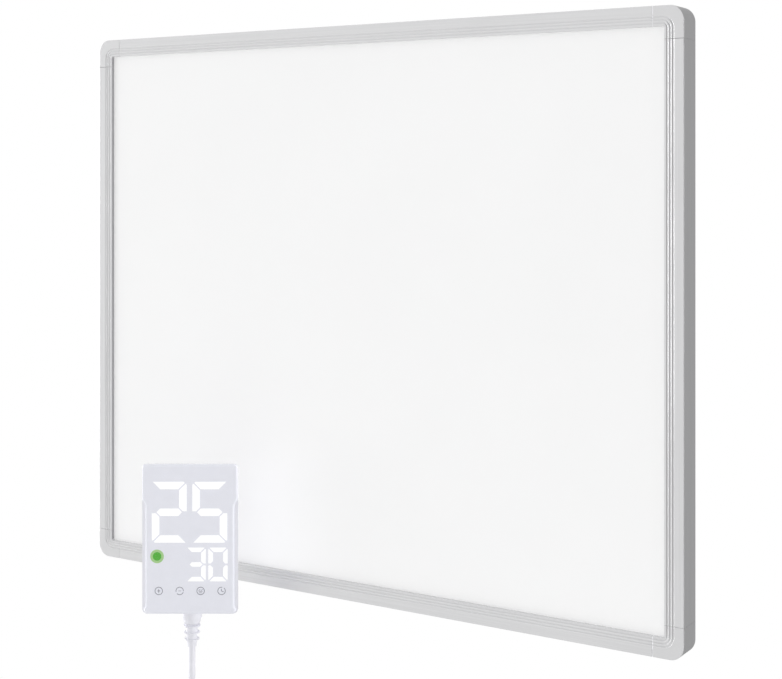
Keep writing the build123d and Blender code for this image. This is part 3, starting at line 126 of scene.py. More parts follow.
class HeaterStudio(PropertyGroup):
    """Light and camera."""
    background: FloatProperty(name="Background", default=1.0,
                              description="Brightness of the white that camera and gloss see")
    ambient: FloatProperty(name="Ambient", default=0.70,
                           description="Brightness of the light from all round")
    front: FloatProperty(name="Front Light", default=0.47,
                         description="Strength of the soft light from the front")
    glint: FloatProperty(name="Left Glint", default=2.1,
                         description="Strength of the gloss from the left")
    left: FloatProperty(name="Left Light", default=1.3,
                        description="Strength of the soft light from the left")
    right: FloatProperty(name="Right Light", default=1.3,
                         description="Strength of the soft light from the right")
    back: FloatProperty(name="Back Light", default=0.7,
                        description="Strength of the soft light on the panel's back")
    edge: FloatProperty(name="Edge Glint", default=0.5,
                        description="Strength of the glint on the panel's right edge")
    card: FloatProperty(name="Cards", default=0.44,
                        description="Brightness of the grey cards")
    lens: FloatProperty(name="Lens", default=69.05, description="Focal length in millimetres")


# ---- Node helper and shared node layouts ----

def add_node(tree, kind, settings=None, links=None):
    """Add a node, set its properties or inputs, and link other nodes' outputs into it."""
    node = tree.nodes.new(kind)
    for key, value in (settings or {}).items():
        if isinstance(key, str) and hasattr(node, key):
            setattr(node, key, value)
        else:
            node.inputs[key].default_value = value
    for key, source in (links or {}).items():
        tree.links.new(source, node.inputs[key])
    return node


def start_finish(name, base, metallic=0.0, roughness=0.5):
    """A new material with constants on its shader, and its tree and shader."""
    material = bpy.data.materials.new(name)
    material.use_nodes = True
    tree = material.node_tree
    shader = tree.nodes["Principled BSDF"]
    shader.inputs["Base Color"].default_value = (*base, 1)
    shader.inputs["Metallic"].default_value = metallic
    shader.inputs["Roughness"].default_value = roughness
    material.diffuse_color = (*base, 1)
    return material, tree, shader


def pattern_space(tree, per_metre):
    """Object coordinates scaled so that one unit is one repeat of a pattern."""
    place = add_node(tree, "ShaderNodeTexCoord")
    return add_node(tree, "ShaderNodeMapping", {"Scale": per_metre},
                    {"Vector": place.outputs["Object"]}).outputs["Vector"]


def grain(tree, space, detail=2.0, roughness=0.5):
    """Noise over a pattern space."""
    return add_node(tree, "ShaderNodeTexNoise",
                    {"Scale": 1.0, "Detail": detail, "Roughness": roughness},
                    {"Vector": space}).outputs["Fac"]


def between(tree, fac, low, high, from_low=0.3, from_high=0.7):
    """Spread a pattern over a range of values."""
    return add_node(tree, "ShaderNodeMapRange",
                    {"From Min": from_low, "From Max": from_high, "To Min": low, "To Max": high},
                    {"Value": fac}).outputs["Result"]


def tint(tree, shader, base, fac, spread):
    """Vary the base colour by a share either way with a pattern."""
    dark = tuple(c * (1 - spread) for c in base)
    light = tuple(min(1.0, c * (1 + spread)) for c in base)
    add = add_node(tree, "ShaderNodeMix", {"data_type": "RGBA"}, {0: fac})
    add.inputs[6].default_value = (*dark, 1)
    add.inputs[7].default_value = (*light, 1)
    tree.links.new(add.outputs[2], shader.inputs["Base Color"])


def relief(tree, shader, fac, height, strength=1.0):
    """Raise the surface by a pattern, height in metres."""
    bump = add_node(tree, "ShaderNodeBump", {"Strength": strength, "Distance": height},
                    {"Height": fac})
    tree.links.new(bump.outputs["Normal"], shader.inputs["Normal"])


# ---- Finishes ----

def anodised_aluminium(name, base, along):
    """Satin anodised aluminium, brushed along the rail: fine streaks that run its whole length.

    The wall of the lip beside the sheet gets a painted shade, darker than the brushed face.
    """
    # Brush lines 0.25 mm apart on the real rail, drawn 0.9 mm apart so that they show.
    across, run = 1 / 0.0009, 1 / 0.120
    material, tree, shader = start_finish(name, base, 1.0, 0.38)
    scale = [across, across, across]
    scale["XYZ".index(along)] = run
    streaks = grain(tree, pattern_space(tree, scale), 3.0, 0.6)
    cloud = grain(tree, pattern_space(tree, (14, 14, 14)), 2.0)
    tint(tree, shader, base, between(tree, streaks, 0, 1), 0.03)
    paint_wall_shade(tree, shader)
    tree.links.new(between(tree, cloud, 0.34, 0.42), shader.inputs["Roughness"])
    relief(tree, shader, streaks, 0.000008)
    return material


def paint_wall_shade(tree, shader):
    """Paint shade on the upright walls of the lip beside the sheet: a darker colour that stands in
    for the shade in that recess.
    """
    place = add_node(tree, "ShaderNodeTexCoord").outputs["Object"]
    middle = add_node(tree, "ShaderNodeVectorMath", {"operation": "SUBTRACT", 1: panel_middle},
                      {0: place}).outputs[0]
    reach = add_node(tree, "ShaderNodeVectorMath", {"operation": "ABSOLUTE"}, {0: middle})
    apart = add_node(tree, "ShaderNodeSeparateXYZ", {}, {"Vector": reach.outputs[0]})
    # The painted shade reaches just past the upright walls, just behind the face, and short of the
    # level walls.
    inner = {"X": opening.x + 0.0001, "Y": panel_half_depth - 0.0002, "Z": opening.z - 0.0008}
    shade = None
    for axis, end in inner.items():
        within = between(tree, apart.outputs[axis], 1, 0, end - soft_border, end + soft_border)
        shade = within if shade is None else add_node(
            tree, "ShaderNodeMath", {"operation": "MULTIPLY"}, {0: shade, 1: within}).outputs[0]
    brushed = shader.inputs["Base Color"].links[0].from_socket
    mix = add_node(tree, "ShaderNodeMix", {"data_type": "RGBA"}, {0: shade, 6: brushed})
    # Colour of the painted shade on the walls.
    mix.inputs[7].default_value = (*linear("B2B2B4"), 1)
    tree.links.new(mix.outputs[2], shader.inputs["Base Color"])


def paint_joint_highlight(tree, shader):
    """Paint a highlight on the edge where the right corner pieces' level arms meet the rails: a
    light band that stands in for the light caught there.
    """
    place = add_node(tree, "ShaderNodeTexCoord").outputs["Object"]
    level = add_node(tree, "ShaderNodeSeparateXYZ", {}, {"Vector": place}).outputs["X"]
    end = frame_high.x - corner_arm
    apart = add_node(tree, "ShaderNodeMath", {"operation": "SUBTRACT", 1: end}, {0: level})
    reach = add_node(tree, "ShaderNodeMath", {"operation": "ABSOLUTE"}, {0: apart.outputs[0]})
    near = between(tree, reach.outputs[0], 1, 0,
                   joint_highlight_reach - soft_border, joint_highlight_reach + soft_border)
    plain = shader.inputs["Base Color"].links[0].from_socket
    mix = add_node(tree, "ShaderNodeMix", {"data_type": "RGBA"}, {0: near, 6: plain})
    # Colour of the painted highlight at the joint.
    mix.inputs[7].default_value = (*linear("EEEEF0"), 1)
    tree.links.new(mix.outputs[2], shader.inputs["Base Color"])


def silver_moulding(name, base):
    """Silver-pigmented nylon, moulded: even and satin, with a fine spark-eroded grain."""
    material, tree, shader = start_finish(name, base, 1.0, 0.40)
    fine = grain(tree, pattern_space(tree, (1 / 0.0005,) * 3), 2.0)
    cloud = grain(tree, pattern_space(tree, (25,) * 3), 2.0)
    tint(tree, shader, base, between(tree, cloud, 0, 1), 0.015)
    # The corners get a painted highlight at the right joints and a painted shade on the lip's
    # walls.
    paint_joint_highlight(tree, shader)
    paint_wall_shade(tree, shader)
    tree.links.new(between(tree, fine, 0.36, 0.44), shader.inputs["Roughness"])
    relief(tree, shader, fine, 0.000012)
    return material


def powder_coat(name, base):
    """Polyester powder coat on steel: matt, with a faint orange peel."""
    # Orange peel about 1.6 mm from crest to crest.
    material, tree, shader = start_finish(name, base, 0.0, 0.55)
    peel = grain(tree, pattern_space(tree, (1 / 0.0016,) * 3), 2.0)
    cloud = grain(tree, pattern_space(tree, (9,) * 3), 2.0)
    tint(tree, shader, base, between(tree, cloud, 0, 1), 0.006)
    tree.links.new(between(tree, peel, 0.50, 0.60), shader.inputs["Roughness"])
    relief(tree, shader, peel, 0.00002)
    return material


def galvanised_steel(name):
    """Hot-dip galvanised steel sheet: flat crystals of slightly different greys."""
    # Spangle about 7 mm across.
    base = linear("B4B7B8")
    material, tree, shader = start_finish(name, base, 0.9, 0.42)
    cells = add_node(tree, "ShaderNodeTexVoronoi", {"Scale": 1.0},
                     {"Vector": pattern_space(tree, (1 / 0.007,) * 3)})
    shade = add_node(tree, "ShaderNodeSeparateColor", {}, {"Color": cells.outputs["Color"]})
    tint(tree, shader, base, shade.outputs[0], 0.10)
    tree.links.new(between(tree, shade.outputs[1], 0.34, 0.52, 0, 1), shader.inputs["Roughness"])
    return material


def zinc_plate(name):
    """Bright zinc plate on steel screws: a warm silver, a little cloudy."""
    base = linear("C8C6BE")
    material, tree, shader = start_finish(name, base, 1.0, 0.30)
    cloud = grain(tree, pattern_space(tree, (1 / 0.0015,) * 3), 2.0)
    tint(tree, shader, base, between(tree, cloud, 0, 1), 0.08)
    tree.links.new(between(tree, cloud, 0.24, 0.38), shader.inputs["Roughness"])
    return material


def nickel_plate(name):
    """Nickel plate on brass pins: bright, with fine turning lines round them."""
    base = linear("CFCBC2")
    material, tree, shader = start_finish(name, base, 1.0, 0.20)
    lines = grain(tree, pattern_space(tree, (1 / 0.0006,) * 3), 3.0)
    tint(tree, shader, base, between(tree, lines, 0, 1), 0.04)
    tree.links.new(between(tree, lines, 0.15, 0.26), shader.inputs["Roughness"])
    return material


def rolled_copper(name):
    """Tinned copper strip: warm metal with rolling lines along it."""
    base = linear("C98A62")
    material, tree, shader = start_finish(name, base, 1.0, 0.35)
    lines = grain(tree, pattern_space(tree, (1 / 0.0008, 1 / 0.0008, 12)), 3.0)
    tint(tree, shader, base, between(tree, lines, 0, 1), 0.10)
    tree.links.new(between(tree, lines, 0.30, 0.42), shader.inputs["Roughness"])
    return material


def bright_foil(name):
    """Aluminium foil: bright, with soft wrinkles a few centimetres long."""
    base = linear("D9D9DC")
    material, tree, shader = start_finish(name, base, 1.0, 0.22)
    wrinkle = grain(tree, pattern_space(tree, (45,) * 3), 4.0, 0.6)
    tint(tree, shader, base, between(tree, wrinkle, 0, 1), 0.05)
    relief(tree, shader, wrinkle, 0.0006, 0.5)
    return material


def carbon_film(name):
    """Carbon-printed polyester film: near black and satin, in fine printed rows."""
    # Printed rows 5 mm apart.
    base = linear("1E1E20")
    material, tree, shader = start_finish(name, base, 0.0, 0.38)
    rows = add_node(tree, "ShaderNodeTexWave", {"Scale": 1.0, "Distortion": 0.2},
                    {"Vector": pattern_space(tree, (20.0, 20.0, 20.0))})
    tint(tree, shader, base, rows.outputs["Fac"], 0.35)
    return material


def mineral_wool(name):
    """Pressed mineral wool: dull ochre fibres lying in the board."""
    # Fibre tufts about 3 mm long.
    base = linear("B7A878")
    material, tree, shader = start_finish(name, base, 0.0, 0.95)
    tufts = grain(tree, pattern_space(tree, (1 / 0.003, 1 / 0.0008, 1 / 0.0015)), 5.0, 0.7)
    tint(tree, shader, base, between(tree, tufts, 0, 1), 0.22)
    relief(tree, shader, tufts, 0.0006)
    return material


def gloss_abs(name, base, cloudiness=0.01):
    """ABS moulded in a polished tool: glossy, with a hardly visible flow ripple."""
    # Flow ripple about 9 mm long.
    material, tree, shader = start_finish(name, base, 0.0, 0.24)
    ripple = grain(tree, pattern_space(tree, (1 / 0.009,) * 3), 2.0)
    fine = grain(tree, pattern_space(tree, (1 / 0.0006,) * 3), 2.0)
    tint(tree, shader, base, between(tree, ripple, 0, 1), cloudiness)
    tree.links.new(between(tree, fine, 0.20, 0.28), shader.inputs["Roughness"])
    relief(tree, shader, ripple, 0.00002)
    return material


def matt_abs(name, base):
    """ABS moulded in an eroded tool: matt, with a leathery grain."""
    # Tool grain 0.5 mm across.
    material, tree, shader = start_finish(name, base, 0.0, 0.55)
    fine = grain(tree, pattern_space(tree, (1 / 0.0005,) * 3), 3.0)
    tint(tree, shader, base, between(tree, fine, 0, 1), 0.05)
    tree.links.new(between(tree, fine, 0.48, 0.64), shader.inputs["Roughness"])
    relief(tree, shader, fine, 0.00004)
    return material


def soft_pvc(name, base, roughness=0.45):
    """Plasticised PVC: smooth and slightly greasy, with faint handling marks."""
    # Marks about 12 mm long.
    material, tree, shader = start_finish(name, base, 0.0, roughness)
    marks = grain(tree, pattern_space(tree, (1 / 0.012,) * 3), 3.0)
    fine = grain(tree, pattern_space(tree, (1 / 0.0004,) * 3), 2.0)
    tint(tree, shader, base, between(tree, marks, 0, 1), 0.025)
    tree.links.new(between(tree, marks, roughness - 0.06, roughness + 0.06),
                   shader.inputs["Roughness"])
    relief(tree, shader, fine, 0.000015)
    return material


def pressed_rubber(name):
    """EPDM rubber: dull black with a dusty grain."""
    base = linear("1F1F20")
    material, tree, shader = start_finish(name, base, 0.0, 0.8)
    dust = grain(tree, pattern_space(tree, (1 / 0.0012,) * 3), 4.0, 0.6)
    tint(tree, shader, base, between(tree, dust, 0, 1), 0.25)
    relief(tree, shader, dust, 0.00008)
    return material


def circuit_laminate(name):
    """Glass-epoxy board under green solder mask: tracks show as lighter lines."""
    # Tracks 2.5 mm apart.
    base = linear("1B6B3A")
    material, tree, shader = start_finish(name, base, 0.0, 0.35)
    tracks = add_node(tree, "ShaderNodeTexBrick",
                      {"Scale": 1.0, "Mortar Size": 0.08, "Brick Width": 2.3, "Row Height": 1.0},
                      {"Vector": pattern_space(tree, (400,) * 3)})
    tint(tree, shader, base, tracks.outputs["Fac"], 0.25)
    return material


def lit_window(name, base, glow, strength):
    """Milky ABS lit from behind: it shines evenly and hides what is inside."""
    material, tree, shader = start_finish(name, base, 0.0, 0.25)
    shader.inputs["Emission Color"].default_value = (*glow, 1)
    shader.inputs["Emission Strength"].default_value = strength
    fine = grain(tree, pattern_space(tree, (1 / 0.0006,) * 3), 2.0)
    tree.links.new(between(tree, fine, 0.2, 0.3), shader.inputs["Roughness"])
    return material


def screen_ink(name, base):
    """Screen-printed ink: matt, a little uneven where it laid thin."""
    material, tree, shader = start_finish(name, base, 0.0, 0.6)
    thin = grain(tree, pattern_space(tree, (1 / 0.0008,) * 3), 2.0)
    tint(tree, shader, base, between(tree, thin, 0, 1), 0.05)
    return material


def dress(material, *names):
    """Give CAD nodes a finish."""
    for name in names:
        slots = nodes[name].material_slots
        if not slots:
            nodes[name].data.materials.append(material)
        for each in slots:
            each.material = material


# ---- Modelling helpers ----

def controller_matrix():
    """The controller's own frame (x right, y back, z up) in the row's frame."""
    return Matrix.Translation(controller_place) @ Matrix.Rotation(controller_turn, 4, "Z")


def face_matrix(x, z):
    """A drawing plane on the controller's face: x right, y up, z towards the viewer."""
    upright = Matrix.Rotation(radians(90), 4, "X")
    return controller_matrix() @ Matrix.Translation((x, 0, z)) @ upright


def fresh(kind, **settings):
    """Add one primitive with nothing else selected, and return it."""
    if bpy.context.object and bpy.context.object.mode != "OBJECT":
        bpy.ops.object.mode_set(mode="OBJECT")
    bpy.ops.object.select_all(action="DESELECT")
    getattr(bpy.ops.mesh, kind)(**settings)
    return bpy.context.object


def pick(piece, wanted, of="faces"):
    """Select the faces, edges or vertices of the piece in edit mode that a test accepts."""
    mesh = bmesh.from_edit_mesh(piece.data)
    modes = {"faces": "FACE", "edges": "EDGE", "verts": "VERT"}
    bpy.ops.mesh.select_mode(type=modes[of])
    bpy.ops.mesh.select_all(action="DESELECT")
    for each in getattr(mesh, of):
        each.select_set(bool(wanted(each)))
    mesh.select_flush_mode()
    bmesh.update_edit_mesh(piece.data)


def apply_modifier(piece, kind, **settings):
    """Add a modifier with its settings and apply it."""
    modifier = piece.modifiers.new(kind.title(), kind)
    for key, value in settings.items():
        setattr(modifier, key, value)
    bpy.ops.object.select_all(action="DESELECT")
    bpy.context.view_layer.objects.active = piece
    piece.select_set(True)
    bpy.ops.object.modifier_apply(modifier=modifier.name)


def join(name, pieces):
    """Join pieces into one object at the origin."""
    bpy.ops.object.select_all(action="DESELECT")
    for piece in pieces:
        piece.select_set(True)
    bpy.context.view_layer.objects.active = pieces[0]
    if len(pieces) > 1:
        bpy.ops.object.join()
    whole = pieces[0]
    whole.name = name
    bpy.ops.object.transform_apply(location=True, rotation=True, scale=True)
    return whole


def finish_piece(piece, material, body="panel", place=None):
    """Place a finished mesh in the row's frame, dress it and let it ride."""
    if place is not None:
        piece.data.transform(place)
        piece.data.update()
    piece.data.materials.clear()
    piece.data.materials.append(material)
    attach(piece, body)
    return piece


# ---- Camera ----

class HEATER_OT_camera(Operator):
    """Place the camera where the photograph was taken from"""
    bl_idname = "heater.camera"
    bl_label = "Place Camera"

    def execute(self, context):
        settings = context.scene.heater_studio
        data = bpy.data.cameras.new("Camera")
        data.lens = settings.lens
        data.sensor_width = 36.0
        # The photograph's verticals are parallel and its horizon is high: a level, shifted view.
        data.shift_y = -0.2142
        data.clip_start, data.clip_end = 0.02, 30.0
        camera = bpy.data.objects.new("Camera", data)
        context.scene.collection.objects.link(camera)
        camera.location = (0.7235, -1.1301, -0.0176)
        aim = Vector((-0.53708, 0.84353, 0.0))
        camera.rotation_euler = aim.to_track_quat("-Z", "Y").to_euler()
        context.scene.camera = camera
        return {"FINISHED"}


# ---- Lead ----

inlet = Vector((-0.22065, -0.0174, -0.264))         # where the junction box lets the lead out
drop_levels = (-0.285, -0.306)         # heights on the straight run down to the coil
coil_level = -0.320                    # height of the coil's middle
coil_layer = 0.0067                    # from the coil's front layer to its back layer
half_turns_in, half_turns_out = 7, 6
climb_inset = 0.0008                   # the innermost turn is tighter, where it changes layer
coil_leave = 0.030                     # straight run down from the coil's last turn
# Share of the way from the coil to the controller, and height.
loop_shape = ((0.0, -0.390), (0.035, -0.456), (0.234, -0.508),
              (0.543, -0.524), (0.838, -0.507), (1.0, -0.470))


def coil_marks(lead):
    """Offset and depth where the coil crosses its own level, turn by turn."""
    marks = []
    total = half_turns_in + 1 + half_turns_out
    for k in range(total + 1):
        inward = k <= half_turns_in
        steps = k if inward else 2 * half_turns_in + 1 - k
        radius = lead.coil_radius - steps * lead.coil_pitch / 2
        if k in (half_turns_in, half_turns_in + 1):
            radius -= climb_inset
        side = -1 if k % 2 == 0 else 1
        marks.append((side * radius, inlet.y + (0 if inward else coil_layer)))
    return marks


def coil_points(lead):
    """Control points of every half turn: just outside the turn, so that the spline lies on it."""
    centre = inlet.x + lead.coil_radius
    count = lead.turn_points
    outside = 1 / cos(pi / count / 2)
    marks = coil_marks(lead)
    points = []
    for k, (a, b) in enumerate(zip(marks, marks[1:])):
        middle = ((a[0] + b[0]) / 2, (a[1] + b[1]) / 2)
        half = ((b[0] - a[0]) / 2, (b[1] - a[1]) / 2)
        reach = Vector(half).length * (-1 if k % 2 == 0 else 1) * outside
        for i in range(count):
            angle = pi * (i + 0.5) / count
            points.append(Vector((
                centre + middle[0] - half[0] * cos(angle) * outside,
                middle[1] - half[1] * cos(angle),
                coil_level + reach * sin(angle),
            )))
    return points


def lead_points(lead):
    """The lead's route, from the junction box's strain relief to the controller's."""
    last = coil_marks(lead)[-1]
    start = Vector((inlet.x + lead.coil_radius + last[0], last[1], coil_level))
    end = controller_matrix() @ Vector((0, lead_depth, cover_foot - boot_length))
    points = [inlet.copy()] + [Vector((inlet.x, inlet.y, level)) for level in drop_levels]
    points += coil_points(lead)
    points.append(Vector((start.x, start.y, coil_level - coil_leave)))
    for share, height in loop_shape:
        point = start.lerp(end, share)
        point.z = height
        points.append(point)
    return points + [end]


class HEATER_OT_lead(Operator):
    """Lay the lead: down from the junction box, round its coil and up to the controller"""
    bl_idname = "heater.lead"
    bl_label = "Lay Lead"

    def execute(self, context):
        lead, colours = context.scene.heater_lead, context.scene.heater_colours
        points = lead_points(lead)
        curve = bpy.data.curves.new("lead", "CURVE")
        curve.dimensions = "3D"
        curve.resolution_u = 6
        curve.bevel_depth = lead.diameter / 2
        curve.bevel_resolution = 5
        spline = curve.splines.new("NURBS")
        spline.points.add(len(points) - 1)
        for slot, point in zip(spline.points, points):
            slot.co = (*point, 1)
        spline.order_u = 3
        spline.use_endpoint_u = True
        spline.use_smooth = True
        piece = bpy.data.objects.new("lead", curve)
        context.scene.collection.objects.link(piece)
        curve.materials.append(soft_pvc("Lead PVC", colours.lead))
        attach(piece, "panel")
        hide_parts("power_cord_upper", "power_cord_coil", "power_cord_lower")
        return {"FINISHED"}


class HEATER_OT_coil_tie(Operator):
    """Model the strap that holds the coil: a rounded band with its locking head"""
    bl_idname = "heater.coil_tie"
    bl_label = "Model Coil Tie"

    def execute(self, context):
        low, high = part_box("cord_tie")
        middle, size = (low + high) / 2, high - low
        thickness, bend, rounding = 0.0011, 0.0032, 0.0002
        head_length, head_height, slot_rim, slot_depth = 0.0062, 0.0012, 0.0003, 0.0008
        band = fresh("primitive_cube_add", size=1, location=middle)
        band.scale = size
        bpy.ops.object.transform_apply(location=False, rotation=False, scale=True)
        bpy.ops.object.mode_set(mode="EDIT")
        pick(band, lambda face: abs(face.normal.z) > 0.9)
        bpy.ops.mesh.delete(type="ONLY_FACE")
        pick(band, lambda edge: abs(edge.verts[0].co.z - edge.verts[1].co.z) > size.z / 2, "edges")
        bpy.ops.mesh.bevel(offset=bend, segments=8, affect="EDGES")
        bpy.ops.object.mode_set(mode="OBJECT")
        apply_modifier(band, "SOLIDIFY", thickness=thickness, offset=-1.0)
        apply_modifier(band, "BEVEL", width=rounding, segments=2, limit_method="ANGLE")
        head = fresh("primitive_cube_add", size=1,
                     location=(low.x + size.x * 0.72, high.y - head_height / 2, middle.z))
        head.scale = (head_length, head_height, size.z)
        bpy.ops.object.transform_apply(location=False, rotation=False, scale=True)
        bpy.ops.object.mode_set(mode="EDIT")
        pick(head, lambda face: face.normal.x > 0.9)
        bpy.ops.mesh.inset(thickness=slot_rim, depth=0)
        bpy.ops.mesh.extrude_region_move(TRANSFORM_OT_translate={"value": (-slot_depth, 0, 0)})
        bpy.ops.object.mode_set(mode="OBJECT")
        apply_modifier(head, "BEVEL", width=slot_rim, segments=3, limit_method="ANGLE")
        strap = join("cord_tie_strap", [band, head])
        bpy.ops.object.shade_smooth_by_angle(angle=radians(35))
        nylon = soft_pvc("Tie Nylon", linear("E4E3DC"), 0.4)
        finish_piece(strap, nylon)
        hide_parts("cord_tie")
        dress(nylon, "cord_tie_mount")
        return {"FINISHED"}


# ---- Panel ----

class HEATER_OT_frame(Operator):
    """Dress the frame's rails, corner pieces and corner screws"""
    bl_idname = "heater.frame"
    bl_label = "Dress Frame"

    def execute(self, context):
        colours = context.scene.heater_colours
        level = anodised_aluminium("Brushed Aluminium Level", colours.aluminium, "X")
        upright = anodised_aluminium("Brushed Aluminium Upright", colours.aluminium, "Z")
        dress(level, "frame_rail_top", "frame_rail_bottom")
        dress(upright, "frame_rail_left", "frame_rail_right")
        dress(silver_moulding("Corner Nylon", colours.corner), "corner_top_left",
              "corner_top_right", "corner_bottom_left", "corner_bottom_right")
        dress(zinc_plate("Zinc Screws"), "corner_screws", "hook_rivets", "spacer_screws",
              "junction_box_screws", "terminal_screws", "earth_stud", "controller_screws")
        return {"FINISHED"}


class HEATER_OT_panel(Operator):
    """Dress the heating sheet and the layers behind it"""
    bl_idname = "heater.panel"
    bl_label = "Dress Panel"

    def execute(self, context):
        colours = context.scene.heater_colours
        dress(powder_coat("Sheet Powder Coat", colours.sheet), "heating_sheet")
        dress(powder_coat("Back Powder Coat", colours.back), "back_plate")
        dress(carbon_film("Carbon Film"), "heating_film")
        dress(rolled_copper("Copper Strip"), "busbars")
        dress(bright_foil("Reflector Foil"), "reflector_foil")
        dress(mineral_wool("Mineral Wool"), "insulation_board")
        return {"FINISHED"}


class HEATER_OT_wall_fittings(Operator):
    """Dress the wall rail, the hook rail and the lower spacers"""
    bl_idname = "heater.wall_fittings"
    bl_label = "Dress Wall Fittings"

    def execute(self, context):
        dress(galvanised_steel("Galvanised Steel"), "wall_rail", "hook_rail")
        dress(matt_abs("Spacer ABS", linear("585A5C")), "lower_spacers")
        dress(pressed_rubber("Rubber"), "spacer_pads", "wire_grommet")
        return {"FINISHED"}


class HEATER_OT_junction_box(Operator):
    """Dress the junction box and what it holds"""
    bl_idname = "heater.junction_box"
    bl_label = "Dress Junction Box"

    def execute(self, context):
        colours = context.scene.heater_colours
        dress(matt_abs("Box ABS", linear("6A6C6F")), "junction_box_base", "junction_box_cover")
        dress(matt_abs("Terminal Nylon", linear("E2DDCB")), "terminal_block", "inlet_clamp",
              "controller_clamp")
        dress(matt_abs("Black Phenolic", linear("242426")), "overheat_cutout", "relay",
              "capacitor", "touch_pads", "temperature_sensor")
        dress(soft_pvc("Brown Wire PVC", linear("6B4A33")), "inner_wires", "inlet_cores",
              "controller_cores")
        dress(soft_pvc("Boot PVC", colours.lead), "inlet_strain_relief", "inlet_lead",
              "controller_lead")
        return {"FINISHED"}


# ---- Controller ----

class HEATER_OT_controller(Operator):
    """Dress the controller's covers, display, lamp and inner pieces"""
    bl_idname = "heater.controller"
    bl_label = "Dress Controller"

    def execute(self, context):
        colours = context.scene.heater_colours
        dress(gloss_abs("Face ABS", colours.face), "controller_front_cover")
        dress(gloss_abs("Rear ABS", colours.shell), "controller_rear_shell", "plug_insert")
        dress(soft_pvc("Relief PVC", colours.shell, 0.4), "controller_boot")
        dress(lit_window("Lit Digit", linear("9A9A9A"), linear("FFFFFF"), 0.72),
              "large_digits", "small_digits")
        dress(lit_window("Lit Lamp", colours.lamp, colours.lamp, 0.1), "status_lens")
        dress(lit_window("Lamp Ring", colours.lamp_ring, colours.lamp_ring, 0.1), "status_ring")
        dress(circuit_laminate("Circuit Laminate"), "circuit_board")
        dress(gloss_abs("Blue Housing ABS", linear("2F4F8F")), "power_module")
        dress(nickel_plate("Nickel Pins"), "plug_pins", "earth_contact")
        return {"FINISHED"}


def ring(radius, line, gaps):
    """A flat ring of a touch mark, open between the given angles in degrees."""
    piece = fresh("primitive_circle_add", vertices=72, radius=radius, fill_type="NOTHING")
    bpy.ops.object.mode_set(mode="EDIT")
    bpy.ops.mesh.select_all(action="SELECT")
    share = (radius - line) / radius
    bpy.ops.mesh.extrude_edges_move()
    bpy.ops.transform.resize(value=(share, share, 1))

    def in_gap(face):
        middle = face.calc_center_median()
        angle = degrees(atan2(middle.y, middle.x)) % 360
        return any(low < angle < high for low, high in gaps)

    pick(piece, in_gap)
    bpy.ops.mesh.delete(type="FACE")
    bpy.ops.object.mode_set(mode="OBJECT")
    return piece


def bar(x, y, width, height, turn=0.0):
    """A flat printed bar of a touch mark, with slightly rounded corners."""
    piece = fresh("primitive_plane_add", size=1, location=(x, y, 0), rotation=(0, 0, radians(turn)))
    piece.scale = (width, height, 1)
    bpy.ops.object.transform_apply(location=True, rotation=True, scale=True)
    bpy.ops.object.mode_set(mode="EDIT")
    bpy.ops.mesh.select_all(action="SELECT")
    bpy.ops.mesh.bevel(offset=min(width, height) * 0.25, segments=3, affect="VERTICES")
    bpy.ops.object.mode_set(mode="OBJECT")
    return piece


def plus_mark(marks):
    """A plus in a closed ring."""
    arm, line = marks.ring_radius * 0.9, marks.line_width
    return [ring(marks.ring_radius, line, []), bar(0, 0, arm * 0.8, line), bar(0, 0, line, arm)]


def minus_mark(marks):
    """A short minus in a ring that is open at its lower left and right."""
    line = marks.line_width
    return [ring(marks.ring_radius, line, [(196, 226), (338, 356)]),
            bar(0, 0, marks.ring_radius * 0.7, line * 0.6)]


def mode_mark(marks):
    """Two slanted strokes over a pair of bars in a ring."""
    line, reach = marks.line_width, marks.ring_radius
    return [ring(reach, line, []), bar(-reach * 0.3, reach * 0.22, reach * 0.5, line * 0.8, 30),
            bar(reach * 0.3, reach * 0.22, reach * 0.5, line * 0.8, 30),
            bar(0, -reach * 0.12, reach * 1.0, line * 0.7),
            bar(0, -reach * 0.46, reach * 0.8, line * 0.7)]


def clock_mark(marks):
    """Clock hands in a ring that is open at its upper right."""
    line, reach = marks.line_width, marks.ring_radius
    return [ring(reach, line, [(52, 78)]), bar(-reach * 0.05, reach * 0.24, line, reach * 0.56),
            bar(reach * 0.24, -reach * 0.12, reach * 0.62, line, -20)]


class HEATER_OT_touch_marks(Operator):
    """Print the four touch marks on the controller's face"""
    bl_idname = "heater.touch_marks"
    bl_label = "Print Touch Marks"

    def execute(self, context):
        marks = context.scene.heater_marks
        ink = screen_ink("Mark Ink", context.scene.heater_colours.ink)
        first, spacing, level = -0.0268, 0.018133, -0.0446
        drawings = (("plus", plus_mark), ("minus", minus_mark),
                    ("mode", mode_mark), ("clock", clock_mark))
        for number, (name, draw) in enumerate(drawings):
            piece = join("touch_mark_" + name, draw(marks))
            apply_modifier(piece, "SOLIDIFY", thickness=marks.ink_height, offset=1.0)
            finish_piece(piece, ink,
                         place=face_matrix(first + spacing * number, level))
        return {"FINISHED"}


# ---- Stage ----

